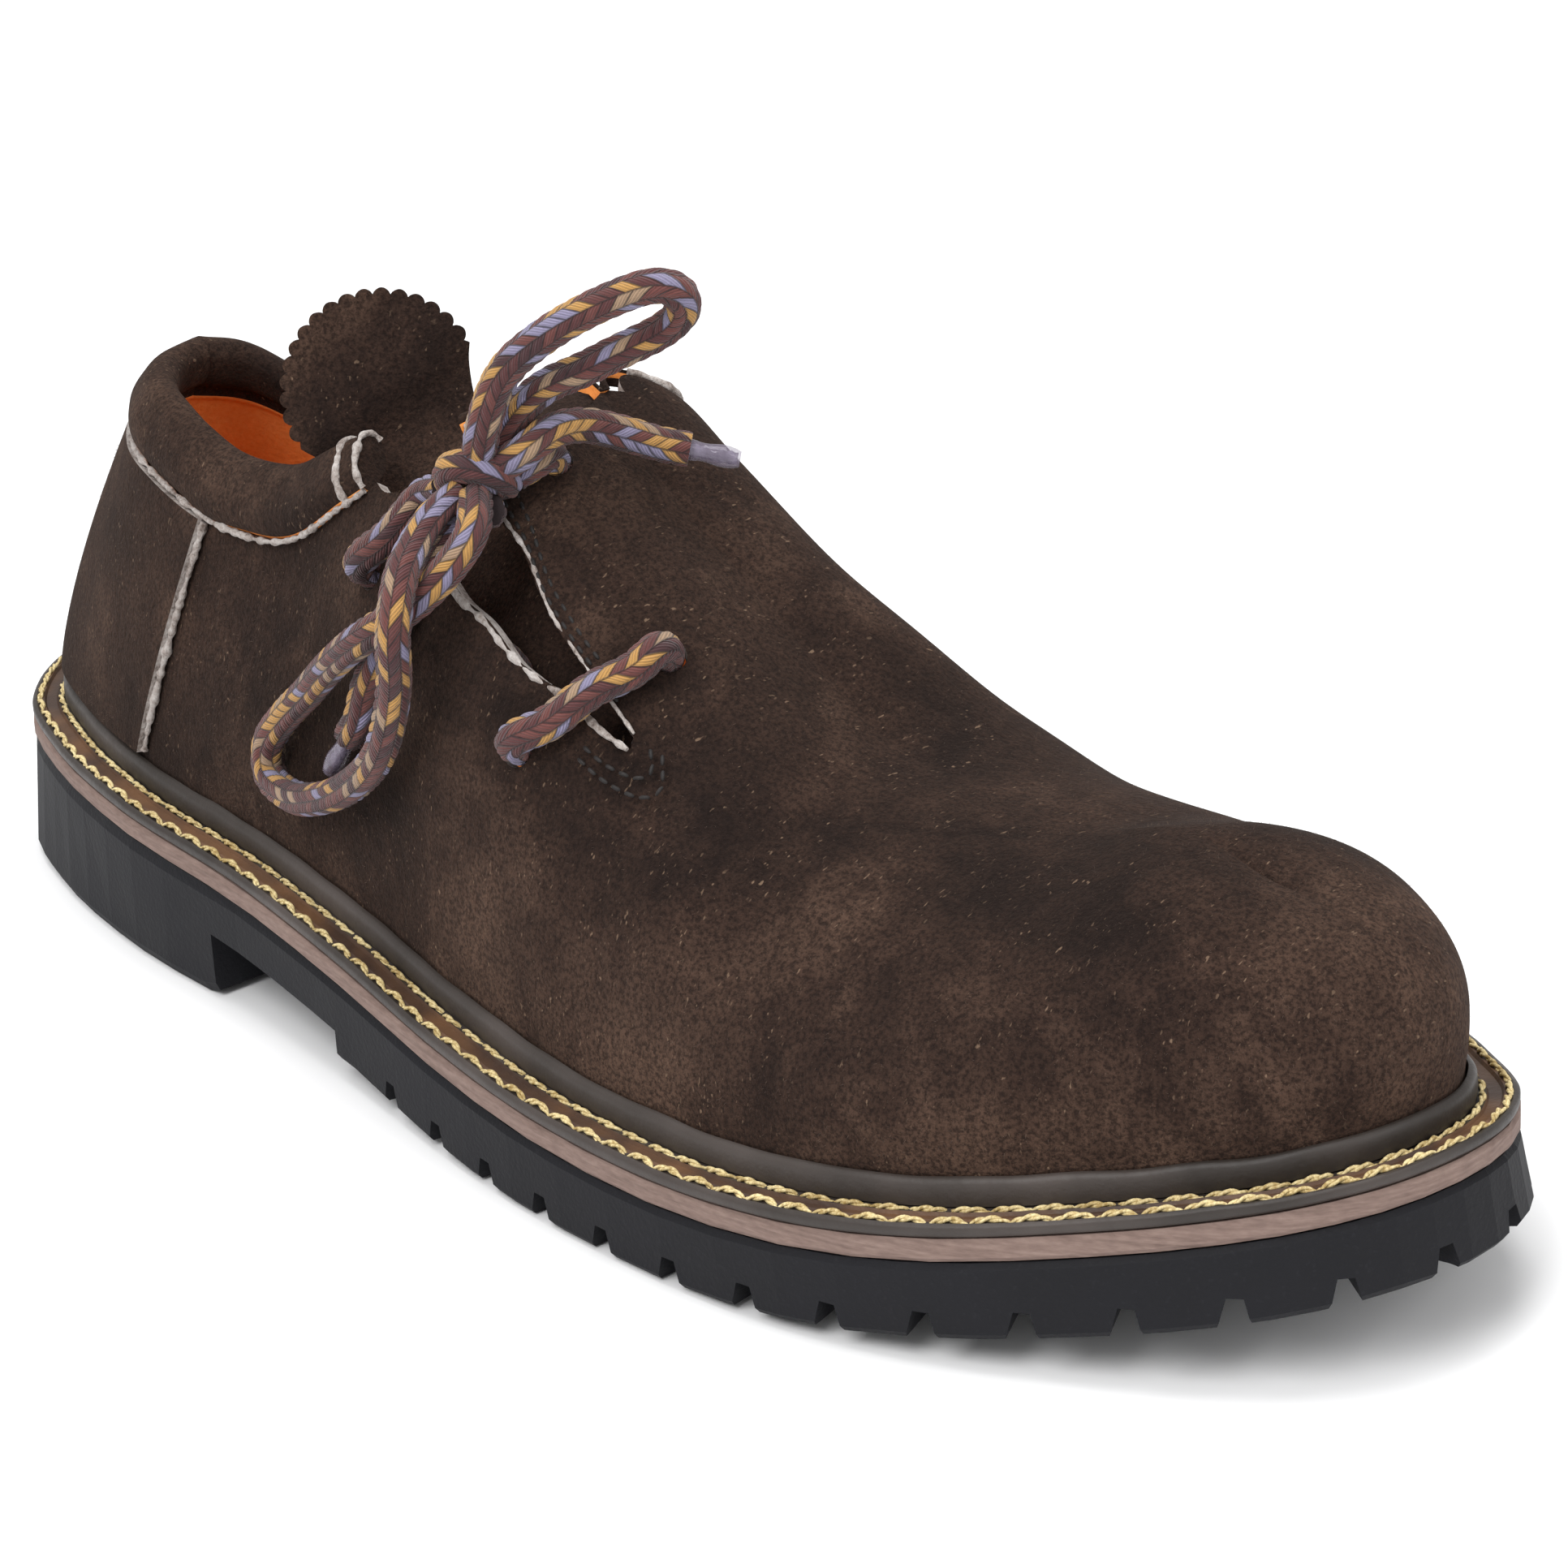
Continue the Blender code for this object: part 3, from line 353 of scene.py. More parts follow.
def sidePoint(side, inset, shares):
    points, outward = insetSide(side, inset)
    run = np.concatenate([[0], np.cumsum(np.linalg.norm(np.diff(points, axis=0), axis=1))])
    run = run / run[-1]
    at = np.asarray(shares, float)
    place = np.stack([np.interp(at, run, points[:, k]) for k in range(2)], axis=-1)
    facing = np.stack([np.interp(at, run, outward[:, k]) for k in range(2)], axis=-1)
    return place, unit(facing)


def springAt(x):
    share = np.asarray(x, float) / outsoleLength + 0.5
    return toeSpring * np.clip((share - springStart) / (1 - springStart), 0, 1) ** 2


# The underside: flat at heel and ball, lifted a little where the forefoot starts
def groundAt(x):
    share = np.asarray(x, float) / outsoleLength + 0.5
    behind = np.clip((ballStart - share) / (ballStart - forefootAlong), 0, 1)
    return springAt(x) + forefootLift * behind ** 2 * (share > breastAlong)


def rubberTop(x):
    share = np.asarray(x, float) / outsoleLength + 0.5
    lift = heelRise * (1 - ease(share, heelRampStart, heelRampEnd))
    return forefootRubber + lift + springAt(x)


def midsoleTop(x):
    return rubberTop(x) + fitGap + midsoleThickness


def weltTop(x):
    return midsoleTop(x) + fitGap + weltThickness


def randTop(x):
    return weltTop(x) + fitGap + randHeight


# The table of one side's top edge, with the ridge that both sides share
def topTable(side):
    rows = np.array((lateralTop if side < 0 else medialTop) + ridgeTop)
    place = rows[:, 1:4].copy()
    place[:, 0] = alongX(rows[:, 1])
    place[:, 1] = rows[:, 2] * ballWidth
    behind = rows[:, 0] < throat
    place[:, 2] = rows[:, 3] * np.where(behind, collarHeight, instepHeight)
    values = np.hstack([place, rows[:, 4:7]])
    slopes = np.gradient(values, rows[:, 0], axis=0)
    first = int(np.sum(behind))
    slopes[first] = (values[first + 1] - values[first]) / (rows[first + 1, 0] - rows[first, 0])
    return rows[:, 0], values, slopes


# The upper's outer skin: t runs along the side from heel to toe, f up from the rand
def skin(side, t, f):
    t = np.asarray(t, float)
    f = np.asarray(f, float)
    t, f = np.broadcast_arrays(t, f)
    foot, outward = sidePoint(side, featherInset, t)
    knots, values, slopes = topTable(side)
    top = flow(knots, values, t, slopes)
    belly = top[..., 3] * ballWidth
    roof = top[..., 4]
    power = 2.0 / top[..., 5]
    base = randTop(foot[..., 0])
    angle = np.clip(f, 0, 1) * math.pi / 2
    roofIn = 1 - np.cos(angle) ** power
    roofUp = np.sin(angle) ** power
    over = np.maximum(f - 1, 0)
    wallIn = np.maximum(f, 0) ** 1.25
    wallUp = f
    inward = (1 - roof) * wallIn + roof * (roofIn + over)
    up = (1 - roof) * wallUp + roof * roofUp
    swell = np.sin(np.clip(f, 0, 1) * math.pi) ** 1.0 * belly
    x = foot[..., 0] + (top[..., 0] - foot[..., 0]) * inward + outward[..., 0] * swell
    y = foot[..., 1] + (top[..., 1] - foot[..., 1]) * inward + outward[..., 1] * swell
    z = base + (top[..., 2] - base) * up
    return np.stack([x, y, z], axis=-1)


def skinFrame(side, t, f):
    # Place, outward normal and upward direction at a point of the skin
    step = 0.004
    f = np.clip(np.asarray(f, float), 0.02, 0.985)
    here = skin(side, t, f)
    t = np.asarray(t, float)
    ahead = skin(side, np.clip(t + step, 0, 1), f) - skin(side, np.clip(t - step, 0, 1), f)
    up = unit(skin(side, t, f + step) - skin(side, t, f - step))
    normal = unit(np.cross(ahead, up)) * -side
    return here, normal, up


def skinOffset(side, t, f, out):
    place = skin(side, t, f)
    normal = skinFrame(side, t, f)[1]
    return place + normal * out


# The height share at which the collar's band starts; the band narrows towards the throat
bandNarrowing = 0.8


def bandShare(side, t):
    foot = skin(side, t, 0.0)
    top = skin(side, t, 1.0)
    width = collarBand * (1 - bandNarrowing * ease(np.asarray(t, float), 0.44, 0.54))
    return 1 - width / np.linalg.norm(top - foot, axis=-1)


# Camera at the photograph's angle, a little rolled
view = {
    "place": (491.4 * mm, -379.3 * mm, 294.7 * mm),
    "target": (-20.2 * mm, 41.2 * mm, 21.1 * mm),
    "roll": -3.25,
    "lens": 102.8,
    "sensor": 36.0,
}


def makeCamera():
    place = Vector(view["place"])
    back = (place - Vector(view["target"])).normalized()
    right = Vector((0, 0, 1)).cross(back).normalized()
    up = back.cross(right)
    roll = math.radians(view["roll"])
    across = right * math.cos(roll) + up * math.sin(roll)
    upward = up * math.cos(roll) - right * math.sin(roll)
    data = bpy.data.cameras.new("camera")
    data.lens = view["lens"]
    data.sensor_width = view["sensor"]
    data.clip_start = 0.02
    camera = bpy.data.objects.new("camera", data)
    bpy.context.scene.collection.objects.link(camera)
    turn = Matrix((across, upward, back)).transposed().to_4x4()
    camera.matrix_world = Matrix.Translation(place) @ turn
    bpy.context.scene.camera = camera


# Plain pale floor and soft studio lights: name, place, size, power
studio = {
    "floor": (0.93, 0.93, 0.935),
    "world": 0.62,
    "lights": [
        ("key", (0.30, -0.95, 1.15), 0.8, 13.0),
        ("top", (-0.15, 0.10, 1.40), 1.0, 12.0),
        ("front", (1.20, 0.25, 0.75), 0.8, 5.0),
    ],
}


def makeStudio():
    bpy.context.scene.view_settings.view_transform = "Standard"
    world = bpy.data.worlds.new("studio")
    bpy.context.scene.world = world
    world.use_nodes = True
    background = world.node_tree.nodes["Background"]
    background.inputs["Color"].default_value = (1, 1, 1, 1)
    background.inputs["Strength"].default_value = studio["world"]
    for name, place, size, power in studio["lights"]:
        data = bpy.data.lights.new(name, "AREA")
        data.size = size
        data.energy = power
        lamp = bpy.data.objects.new(name, data)
        bpy.context.scene.collection.objects.link(lamp)
        lamp.location = place
        lamp.rotation_euler = (-Vector(place)).to_track_quat("-Z", "Y").to_euler()
    half = 6.0
    corners = [(-half, -half, 0), (half, -half, 0), (half, half, 0), (-half, half, 0)]
    mesh = bpy.data.meshes.new("floor")
    mesh.from_pydata(corners, [], [(0, 1, 2, 3)])
    floor = bpy.data.objects.new("floor", mesh)
    bpy.context.scene.collection.objects.link(floor)
    floor.location.z = -0.0003
    paper = Shade("paper")
    paper.finish(colour=studio["floor"], roughness=0.9)
    mesh.materials.append(paper.made)


# Shader maths as plain expressions
class Link:
    def __init__(self, shade, socket):
        self.shade = shade
        self.socket = socket

    def __add__(self, other):
        return self.shade.maths("ADD", self, other)

    def __sub__(self, other):
        return self.shade.maths("SUBTRACT", self, other)

    def __rsub__(self, other):
        return self.shade.maths("SUBTRACT", other, self)

    def __mul__(self, other):
        return self.shade.maths("MULTIPLY", self, other)

    def __truediv__(self, other):
        return self.shade.maths("DIVIDE", self, other)

    __radd__ = __add__
    __rmul__ = __mul__


class Shade:
    def __init__(self, name):
        self.made = bpy.data.materials.new(name)
        self.made.use_nodes = True
        self.tree = self.made.node_tree
        self.shader = self.tree.nodes["Principled BSDF"]
        self.place = self.node("ShaderNodeTexCoord", out="Object")

    def feed(self, socket, value):
        if isinstance(value, Link):
            self.tree.links.new(value.socket, socket)
        elif isinstance(value, tuple) and len(socket.default_value) == 4:
            socket.default_value = (*value[:3], 1)
        else:
            socket.default_value = value

    # Any node: its settings first, then the values and links of its sockets
    def node(self, kind, settings=None, values=None, out=0):
        made = self.tree.nodes.new(kind)
        for key, value in (settings or {}).items():
            if key == "stops":
                elements = made.color_ramp.elements
                while len(elements) < len(value):
                    elements.new(0.5)
                for element, (at, colour) in zip(elements, value):
                    element.position = at
                    element.color = (*colour, 1)
            elif key == "interpolation":
                made.color_ramp.interpolation = value
            else:
                setattr(made, key, value)
        for key, value in (values or {}).items():
            self.feed(made.inputs[key], value)
        return Link(self, made.outputs[out])

    def maths(self, operation, a, b=0.0, clamp=False):
        return self.node("ShaderNodeMath", {"operation": operation, "use_clamp": clamp}, {0: a, 1: b})

    def mix(self, share, a, b, blend="MIX"):
        settings = {"data_type": "RGBA", "blend_type": blend}
        return self.node("ShaderNodeMix", settings, {0: share, 6: a, 7: b}, out=2)

    def noise(self, scale, detail=2.0, rough=0.5, stretch=None, bend=0.0):
        place = self.place
        if stretch:
            place = self.node("ShaderNodeVectorMath", {"operation": "MULTIPLY"}, {0: place, 1: stretch})
        values = {"Vector": place, "Scale": scale, "Detail": detail, "Roughness": rough, "Distortion": bend}
        return self.node("ShaderNodeTexNoise", {}, values)

    def band(self, value, low, high):
        # 0 below low, 1 above high
        return self.node("ShaderNodeMapRange", {"clamp": True},
                         {"Value": value, "From Min": low, "From Max": high})

    def ramp(self, value, stops, interpolation="LINEAR"):
        return self.node("ShaderNodeValToRGB", {"stops": stops, "interpolation": interpolation}, {0: value})

    def bump(self, height, depth, strength=1.0):
        return self.node("ShaderNodeBump", {}, {"Height": height, "Distance": depth, "Strength": strength})

    def finish(self, colour, roughness, normal=None, **fixed):
        self.feed(self.shader.inputs["Base Color"], colour)
        self.feed(self.shader.inputs["Roughness"], roughness)
        if normal:
            self.feed(self.shader.inputs["Normal"], normal)
        for key, value in fixed.items():
            self.feed(self.shader.inputs[key.replace("_", " ")], value)
        return self.made


# A colour as seen, 0 to 255, to Blender's linear values
def paint(red, green, blue):
    return tuple(((v / 255 + 0.055) / 1.055) ** 2.4 if v > 10 else v / 255 / 12.92 for v in (red, green, blue))


suedeLook = {
    "dark": paint(33, 24, 21),
    "mid": paint(57, 42, 35),
    "light": paint(86, 66, 55),
    "fleck": paint(140, 116, 96),
}


def suedeFinish(name, lighter=0.0):
    s = Shade(name)
    patches = s.noise(26, 4.0, 0.55, bend=0.6)
    brushed = s.noise(95, 3.0, 0.6, stretch=(1.0, 1.0, 0.6), bend=1.2)
    nap = s.noise(1500, 3.0, 0.7)
    worn = s.noise(11, 2.0, 0.5)
    tone = patches * 0.62 + brushed * 0.30 + worn * 0.30 + (lighter - 0.12)
    colour = s.ramp(tone, [(0.36, suedeLook["dark"]), (0.50, suedeLook["mid"]), (0.66, suedeLook["light"])])
    shadowed = s.mix(s.band(nap, 0.60, 0.38) * 0.75, colour, paint(24, 17, 15))
    fleck = s.noise(1900, 1.0, 0.5, stretch=(1.0, 0.35, 0.5))
    spots = s.band(fleck, 0.69, 0.75) * s.band(s.noise(160), 0.42, 0.62) * 0.55
    spotted = s.mix(spots, shadowed, suedeLook["fleck"])
    height = nap * 0.7 + brushed * 0.6 + s.noise(420, 2.0) * 0.6
    return s.finish(spotted, 0.95, s.bump(height, 0.0009, 0.9), Specular_IOR_Level=0.12, Sheen_Weight=0.06,
                    Sheen_Roughness=0.4, Sheen_Tint=paint(190, 160, 140))


def rawEdgeFinish():
    s = Shade("raw_edge")
    fibre = s.noise(1400, 3.0, 0.7)
    coarse = s.noise(260, 2.0)
    tone = fibre * 0.6 + coarse * 0.5
    colour = s.ramp(tone, [(0.36, paint(92, 78, 70)), (0.52, paint(158, 148, 142)), (0.72, paint(196, 190, 186))])
    return s.finish(colour, 0.95, s.bump(fibre, 0.0006, 0.9))


def liningFinish():
    s = Shade("tan_lining")
    nap = s.noise(1100, 3.0, 0.65)
    cloud = s.noise(45, 3.0)
    # Painted light: these colours are brighter than the lining's own tan, so that the shaded inside of the shoe reads
    # as lit
    colour = s.ramp(cloud * 0.7 + nap * 0.3, [(0.34, paint(212, 122, 58)), (0.5, paint(236, 150, 78)),
                                             (0.68, paint(246, 170, 98))])
    return s.finish(colour, 0.9, s.bump(nap, 0.0004, 0.6), Specular_IOR_Level=0.2)


def rubberFinish():
    s = Shade("black_rubber")
    grain = s.noise(1300, 2.0, 0.6)
    cloud = s.noise(60, 3.0)
    colour = s.mix(s.band(cloud, 0.4, 0.7) * 0.5, paint(19, 19, 23), paint(27, 27, 32))
    dusty = s.mix(s.band(grain, 0.60, 0.72) * 0.2, colour, paint(44, 44, 49))
    return s.finish(dusty, 0.56 + cloud * 0.2, s.bump(grain, 0.0003, 0.35), Specular_IOR_Level=0.22)


def bandFinish():
    s = Shade("midsole_leather")
    layers = s.noise(120, 3.0, 0.6, stretch=(0.35, 0.35, 14.0))
    fibre = s.noise(900, 2.0, 0.6, stretch=(0.5, 0.5, 2.0))
    colour = s.ramp(layers * 0.5 + fibre * 0.5, [(0.30, paint(104, 86, 79)), (0.5, paint(124, 104, 96)),
                                                (0.70, paint(140, 120, 111))])
    return s.finish(colour, 0.78, s.bump(layers + fibre, 0.0002, 0.35), Specular_IOR_Level=0.3)


def weltFinish():
    s = Shade("welt_leather")
    grain = s.noise(700, 3.0, 0.6)
    cloud = s.noise(40, 3.0)
    colour = s.mix(s.band(cloud, 0.35, 0.7), paint(44, 38, 34), paint(72, 64, 60))
    return s.finish(colour, 0.40 + grain * 0.22, s.bump(grain, 0.0002, 0.5), Specular_IOR_Level=0.4)


def grooveFinish():
    s = Shade("groove_leather")
    grain = s.noise(600, 3.0, 0.6)
    cloud = s.noise(70, 2.0)
    colour = s.mix(s.band(cloud, 0.4, 0.65), paint(62, 42, 30), paint(104, 72, 46))
    return s.finish(colour, 0.45 + grain * 0.2, s.bump(grain, 0.0003, 0.5))


def threadFinish(name, dark, light):
    s = Shade(name)
    fibre = s.noise(2200, 2.0, 0.6, stretch=(1.0, 1.0, 0.4))
    cloud = s.noise(130, 2.0)
    colour = s.mix(s.band(fibre * 0.6 + cloud * 0.4, 0.38, 0.62), dark, light)
    return s.finish(colour, 0.7, s.bump(fibre, 0.0002, 0.6))


# The braid: columns round the cord, each of marks that lean the other way from its neighbours
braidLook = {
    "columns": 8,
    "pitch": 2.3 * mm,
    "lean": 1.0,
    "rise": 0.15,
    "stops": [(0.0, paint(84, 42, 42)), (0.30, paint(104, 56, 51)), (0.50, paint(66, 35, 38)),
              (0.60, paint(186, 140, 76)), (0.73, paint(92, 49, 46)), (0.80, paint(136, 130, 158)),
              (0.92, paint(162, 134, 108))],
}


def braidFinish():
    s = Shade("braided_lace")
    route = s.node("ShaderNodeUVMap", {"uv_map": "braid"})
    around = s.node("ShaderNodeSeparateXYZ", {}, {0: route}, out="X")
    along = s.node("ShaderNodeSeparateXYZ", {}, {0: route}, out="Y")
    column = s.maths("FLOOR", around)
    inside = around - column
    odd = s.maths("MODULO", column, 2.0)
    lean = inside + odd * (1 - inside * 2)
    phase = along + lean * braidLook["lean"] + odd * 0.5
    mark = s.maths("FLOOR", phase)
    cell = s.node("ShaderNodeCombineXYZ", {}, {"X": column, "Y": mark, "Z": 3.7})
    pick = s.node("ShaderNodeTexWhiteNoise", {"noise_dimensions": "3D"}, {"Vector": cell})
    colour = s.ramp(pick, braidLook["stops"], "CONSTANT")
    across = phase - mark
    strands = s.maths("SINE", across * (math.tau * 4))
    valley = s.band(s.maths("ABSOLUTE", across - 0.5), 0.36, 0.5)
    side = s.band(s.maths("ABSOLUTE", inside - 0.5), 0.38, 0.5)
    edge = s.maths("MAXIMUM", valley, side)
    # Painted shade: darker in the grooves between the strands of each mark, and near black in the crevices between
    # neighbouring marks and columns
    strandShaded = s.mix(s.band(strands, -0.2, -1.0) * 0.35, colour, paint(44, 26, 28))
    creviceShaded = s.mix(edge * 0.85, strandShaded, paint(22, 13, 15))
    fuzz = s.noise(2400, 2.0, 0.6)
    height = strands * 0.3 + (1 - edge) + fuzz * 0.4
    return s.finish(creviceShaded, 0.85, s.bump(height, 0.0004, 0.7), Sheen_Weight=0.15)


def clearFinish():
    s = Shade("clear_tip")
    s.finish(paint(150, 140, 160), 0.06, Alpha=0.42, Coat_Weight=0.5, Coat_Roughness=0.04)
    s.made.surface_render_method = "BLENDED"
    return s.made


def coreFinish():
    s = Shade("tip_core")
    twist = s.noise(500, 2.0, stretch=(1.0, 1.0, 0.3))
    return s.finish(s.mix(s.band(twist, 0.4, 0.6), paint(44, 32, 46), paint(112, 104, 122)), 0.4)


# Mesh helpers
def meshPiece(name, vertices, faces, finishes, picks=None, weld=0.00001, node=None, smooth=45):
    mesh = bpy.data.meshes.new(name)
    mesh.from_pydata(np.asarray(vertices).tolist(), [], faces)
    for finish in finishes:
        mesh.materials.append(finish)
    if picks is not None:
        mesh.polygons.foreach_set("material_index", np.asarray(picks, np.int32))
    if weld:
        shape = bmesh.new()
        shape.from_mesh(mesh)
        bmesh.ops.remove_doubles(shape, verts=shape.verts, dist=weld)
        bmesh.ops.recalc_face_normals(shape, faces=shape.faces)
        shape.to_mesh(mesh)
        shape.free()
    mesh.shade_smooth()
    mesh.set_sharp_from_angle(angle=math.radians(smooth))
    made = bpy.data.objects.new(name, mesh)
    bpy.context.scene.collection.objects.link(made)
    if node:
        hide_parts(node)
    return made


def gridFaces(columns, rows, wrapColumns=False, wrapRows=False, base=0):
    faces = []
    for i in range(columns if wrapColumns else columns - 1):
        j = (i + 1) % columns
        for k in range(rows if wrapRows else rows - 1):
            m = (k + 1) % rows
            faces.append((base + i * rows + k, base + j * rows + k, base + j * rows + m, base + i * rows + m))
    return faces


def settle(made):
    # Applies the modifiers, so that the mesh itself holds what is seen
    bpy.context.view_layer.update()
    graph = bpy.context.evaluated_depsgraph_get()
    mesh = bpy.data.meshes.new_from_object(made.evaluated_get(graph))
    made.modifiers.clear()
    made.data = mesh
    return made


# A soft random field, the same each run: sums of fixed waves
def ripple(points, size, seed=0):
    chance = np.random.default_rng(seed)
    total = np.zeros(points.shape[:-1])
    for k in range(14):
        direction = unit(chance.normal(size=3))
        length = size * chance.uniform(0.6, 1.8)
        total += np.sin(points @ direction * math.tau / length + chance.uniform(0, math.tau))
    return total / 14 ** 0.5


# Upper: soft troughs and ridges, listed one by one, each from one point of the skin to another
# Columns: side, place and height share of the start, of the end, width, depth
creaseRows = [
    (-1, 0.640, 0.52, 0.665, 0.98, 11 * mm, -0.9 * mm),
    (-1, 0.690, 0.45, 0.705, 0.95, 9 * mm, -0.6 * mm),
    (-1, 0.740, 0.60, 0.745, 0.98, 12 * mm, 0.5 * mm),
    (1, 0.655, 0.50, 0.690, 0.95, 11 * mm, -0.8 * mm),
    (1, 0.720, 0.45, 0.735, 0.90, 9 * mm, -0.5 * mm),
    (-1, 0.625, 0.45, 0.610, 0.15, 10 * mm, -0.8 * mm),
    (-1, 0.360, 0.75, 0.400, 0.20, 12 * mm, -0.7 * mm),
    (-1, 0.300, 0.20, 0.420, 0.12, 8 * mm, 0.5 * mm),
    (1, 0.300, 0.70, 0.380, 0.20, 13 * mm, -0.8 * mm),
    (-1, 0.450, 0.55, 0.540, 0.35, 9 * mm, 0.5 * mm),
    (-1, 0.700, 0.20, 0.800, 0.12, 8 * mm, 0.4 * mm),
    (1, 0.500, 0.35, 0.600, 0.20, 12 * mm, -0.6 * mm),
]
upperLook = {
    "columns": 330,
    "rows": 64,
    "ripple": 0.16 * mm,
}


def relief(points):
    total = ripple(points, 34 * mm, 3) * upperLook["ripple"]
    for side, t0, f0, t1, f1, width, depth in creaseRows:
        start, end = skin(side, [t0, t1], [f0, f1])
        run = end - start
        share = np.clip(((points - start) @ run) / (run @ run), 0, 1)
        gap = np.linalg.norm(points - start - share[..., None] * run, axis=-1)
        total += depth * np.exp(-(gap / width) ** 2)
    return total


def skinTop(side, t):
    return np.where(t < throat + 1e-6, bandShare(side, t) - 0.03 * ease(t, 0.46, 0.52), 1.0)


def upperShares():
    turn = np.linspace(0, 1, upperLook["columns"])
    return np.unique(np.concatenate([turn, [throat]]))


def makeUpper():
    t = upperShares()
    vertices = []
    faces = []
    rows = np.linspace(0, 1, upperLook["rows"])
    grids = {}
    for side in (-1, 1):
        stop = skinTop(side, t)
        f = rows[None, :] * stop[:, None]
        here = skin(side, t[:, None], f)
        normal = skinFrame(side, np.broadcast_to(t[:, None], f.shape), f)[1]
        fade = ease(rows, 0.02, 0.16)[None, :] * (1 - 0.8 * ease(rows, 0.9, 1.0)[None, :] * (t < 0.62)[:, None])
        here = here + normal * (relief(here) * fade)[..., None]
        foot = sidePoint(side, featherInset, t)[0]
        floor = np.column_stack([foot, weltTop(foot[:, 0]) + fitGap])
        grids[side] = np.concatenate([floor[:, None, :], here], axis=1)
    # Where the two sides meet, over the ridge and at heel and toe, they share one line
    near = ease(np.concatenate([[0], rows]), 0.75, 1.0)[None, :, None] * (t > throat + 1e-6)[:, None, None]
    gap = grids[1][:, -1:] - grids[-1][:, -1:]
    for side in (-1, 1):
        grid = grids[side] - side * 0.5 * gap * near
        middle = (grids[1] + grids[-1])[[0, -1]] / 2
        grid[0] = middle[0]
        grid[-1] = middle[1]
        base = len(vertices)
        vertices.extend(grid.reshape(-1, 3).tolist())
        part = gridFaces(grid.shape[0], grid.shape[1], base=base)
        faces += part if side < 0 else [face[::-1] for face in part]
    upper = meshPiece("upper_skin", vertices, faces, [suede, lining, rawEdge], weld=0.00003)
    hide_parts("upper")
    shell = upper.modifiers.new("leather", "SOLIDIFY")
    shell.thickness = wall
    shell.offset = -1
    shell.material_offset = 1
    shell.material_offset_rim = 2
    cut = upper.modifiers.new("openings", "BOOLEAN")
    cut.operation = "DIFFERENCE"
    cut.solver = "EXACT"
    cutter = openingCutter()
    cut.object = cutter
    settle(upper)
    bpy.data.objects.remove(cutter)
    upper.data.set_sharp_from_angle(angle=math.radians(50))
    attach(upper, "root")


def openingCutter():
    vertices = []
    faces = []

    def addRings(rings):
        base = len(vertices)
        size = len(rings[0])
        for ring in rings:
            vertices.extend(np.asarray(ring).tolist())
        faces.extend(gridFaces(len(rings), size, wrapRows=True, base=base))
        faces.append(tuple(base + k for k in range(size)))
        faces.append(tuple(base + (len(rings) - 1) * size + k for k in range(size)))

    table = np.array(slitRows)
    turned = int(np.argmax(table[:, 2] < overTop))
    upperPart = table[:turned]
    lowerPart = table[turned:]
    first = flow(upperPart[:, 0], upperPart[:, 1:], np.linspace(upperPart[0, 0], upperPart[-1, 0], 22))
    second = flow(lowerPart[:, 0], lowerPart[:, 1:], np.linspace(lowerPart[0, 0], lowerPart[-1, 0], 40))
    places = np.concatenate([np.linspace(upperPart[0, 0], upperPart[-1, 0], 22),
                             np.linspace(lowerPart[0, 0], lowerPart[-1, 0], 40)])
    rings = []
    for t, (low, high) in zip(places, np.vstack([first, second])):
        shares = np.array([low, high])
        outer = skinOffset(-1, t, shares, cutterReach)
        inner = skinOffset(-1, t, shares, -cutterReach)
        rings.append([outer[0], outer[1], inner[1], inner[0]])
    addRings(rings)
    radius = laceDiameter / 2 + eyeletSlack
    turns = np.arange(32) / 32 * math.tau
    for t, f in eyeletRows.values():
        here, normal, up = (v[0] for v in skinFrame(-1, np.array([t]), np.array([f])))
        aside = np.cross(normal, up)
        circle = [up * math.cos(a) * radius + aside * math.sin(a) * radius for a in turns]
        addRings([[here + spoke + normal * out for spoke in circle] for out in (2 * wall, -3 * wall)])
    made = meshPiece("opening_cutter", vertices, faces, [rawEdge, rawEdge, rawEdge], weld=0.0000001)
    made.data.polygons.foreach_set("material_index", np.full(len(made.data.polygons), 2, np.int32))
    made.hide_render = True
    return made


# A closed loft through rings, with the ends in their own finish
def loftPiece(name, rings, finishes, node, endPick=0, picks=None, smooth=45):
    rings = np.asarray(rings)
    count, size = rings.shape[:2]
    faces = gridFaces(count, size, wrapRows=True)
    chosen = [0] * len(faces) if picks is None else list(picks)
    faces += [tuple(range(size)), tuple(range((count - 1) * size, count * size))]
    chosen += [endPick, endPick]
    made = meshPiece(name, rings.reshape(-1, 3), faces, finishes, chosen, node=node, smooth=smooth)
    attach(made, "root")
    return made


def roundSection(points, count):
    # A smooth closed curve through a few corner points
    points = np.asarray(points, float)
    wrapped = np.vstack([points[-2:], points, points[:3]])
    knots = np.concatenate([[0], np.cumsum(np.linalg.norm(np.diff(wrapped, axis=0), axis=1))])
    at = np.linspace(knots[2], knots[2 + len(points)], count, endpoint=False)
    return flow(knots, wrapped, at)


collarLook = {"steps": 150, "section": 40, "wobble": 0.22 * mm, "linedShare": 0.86, "crestShare": 0.52}


def collarStops():
    first = [(-1, t) for t in np.linspace(vampCorner, throat, 10)]
    second = [(1, t) for t in np.linspace(throat, 0.0, collarLook["steps"])]
    third = [(-1, t) for t in np.linspace(0.0, collarCorner, collarLook["steps"])[1:]]
    return first + second + third


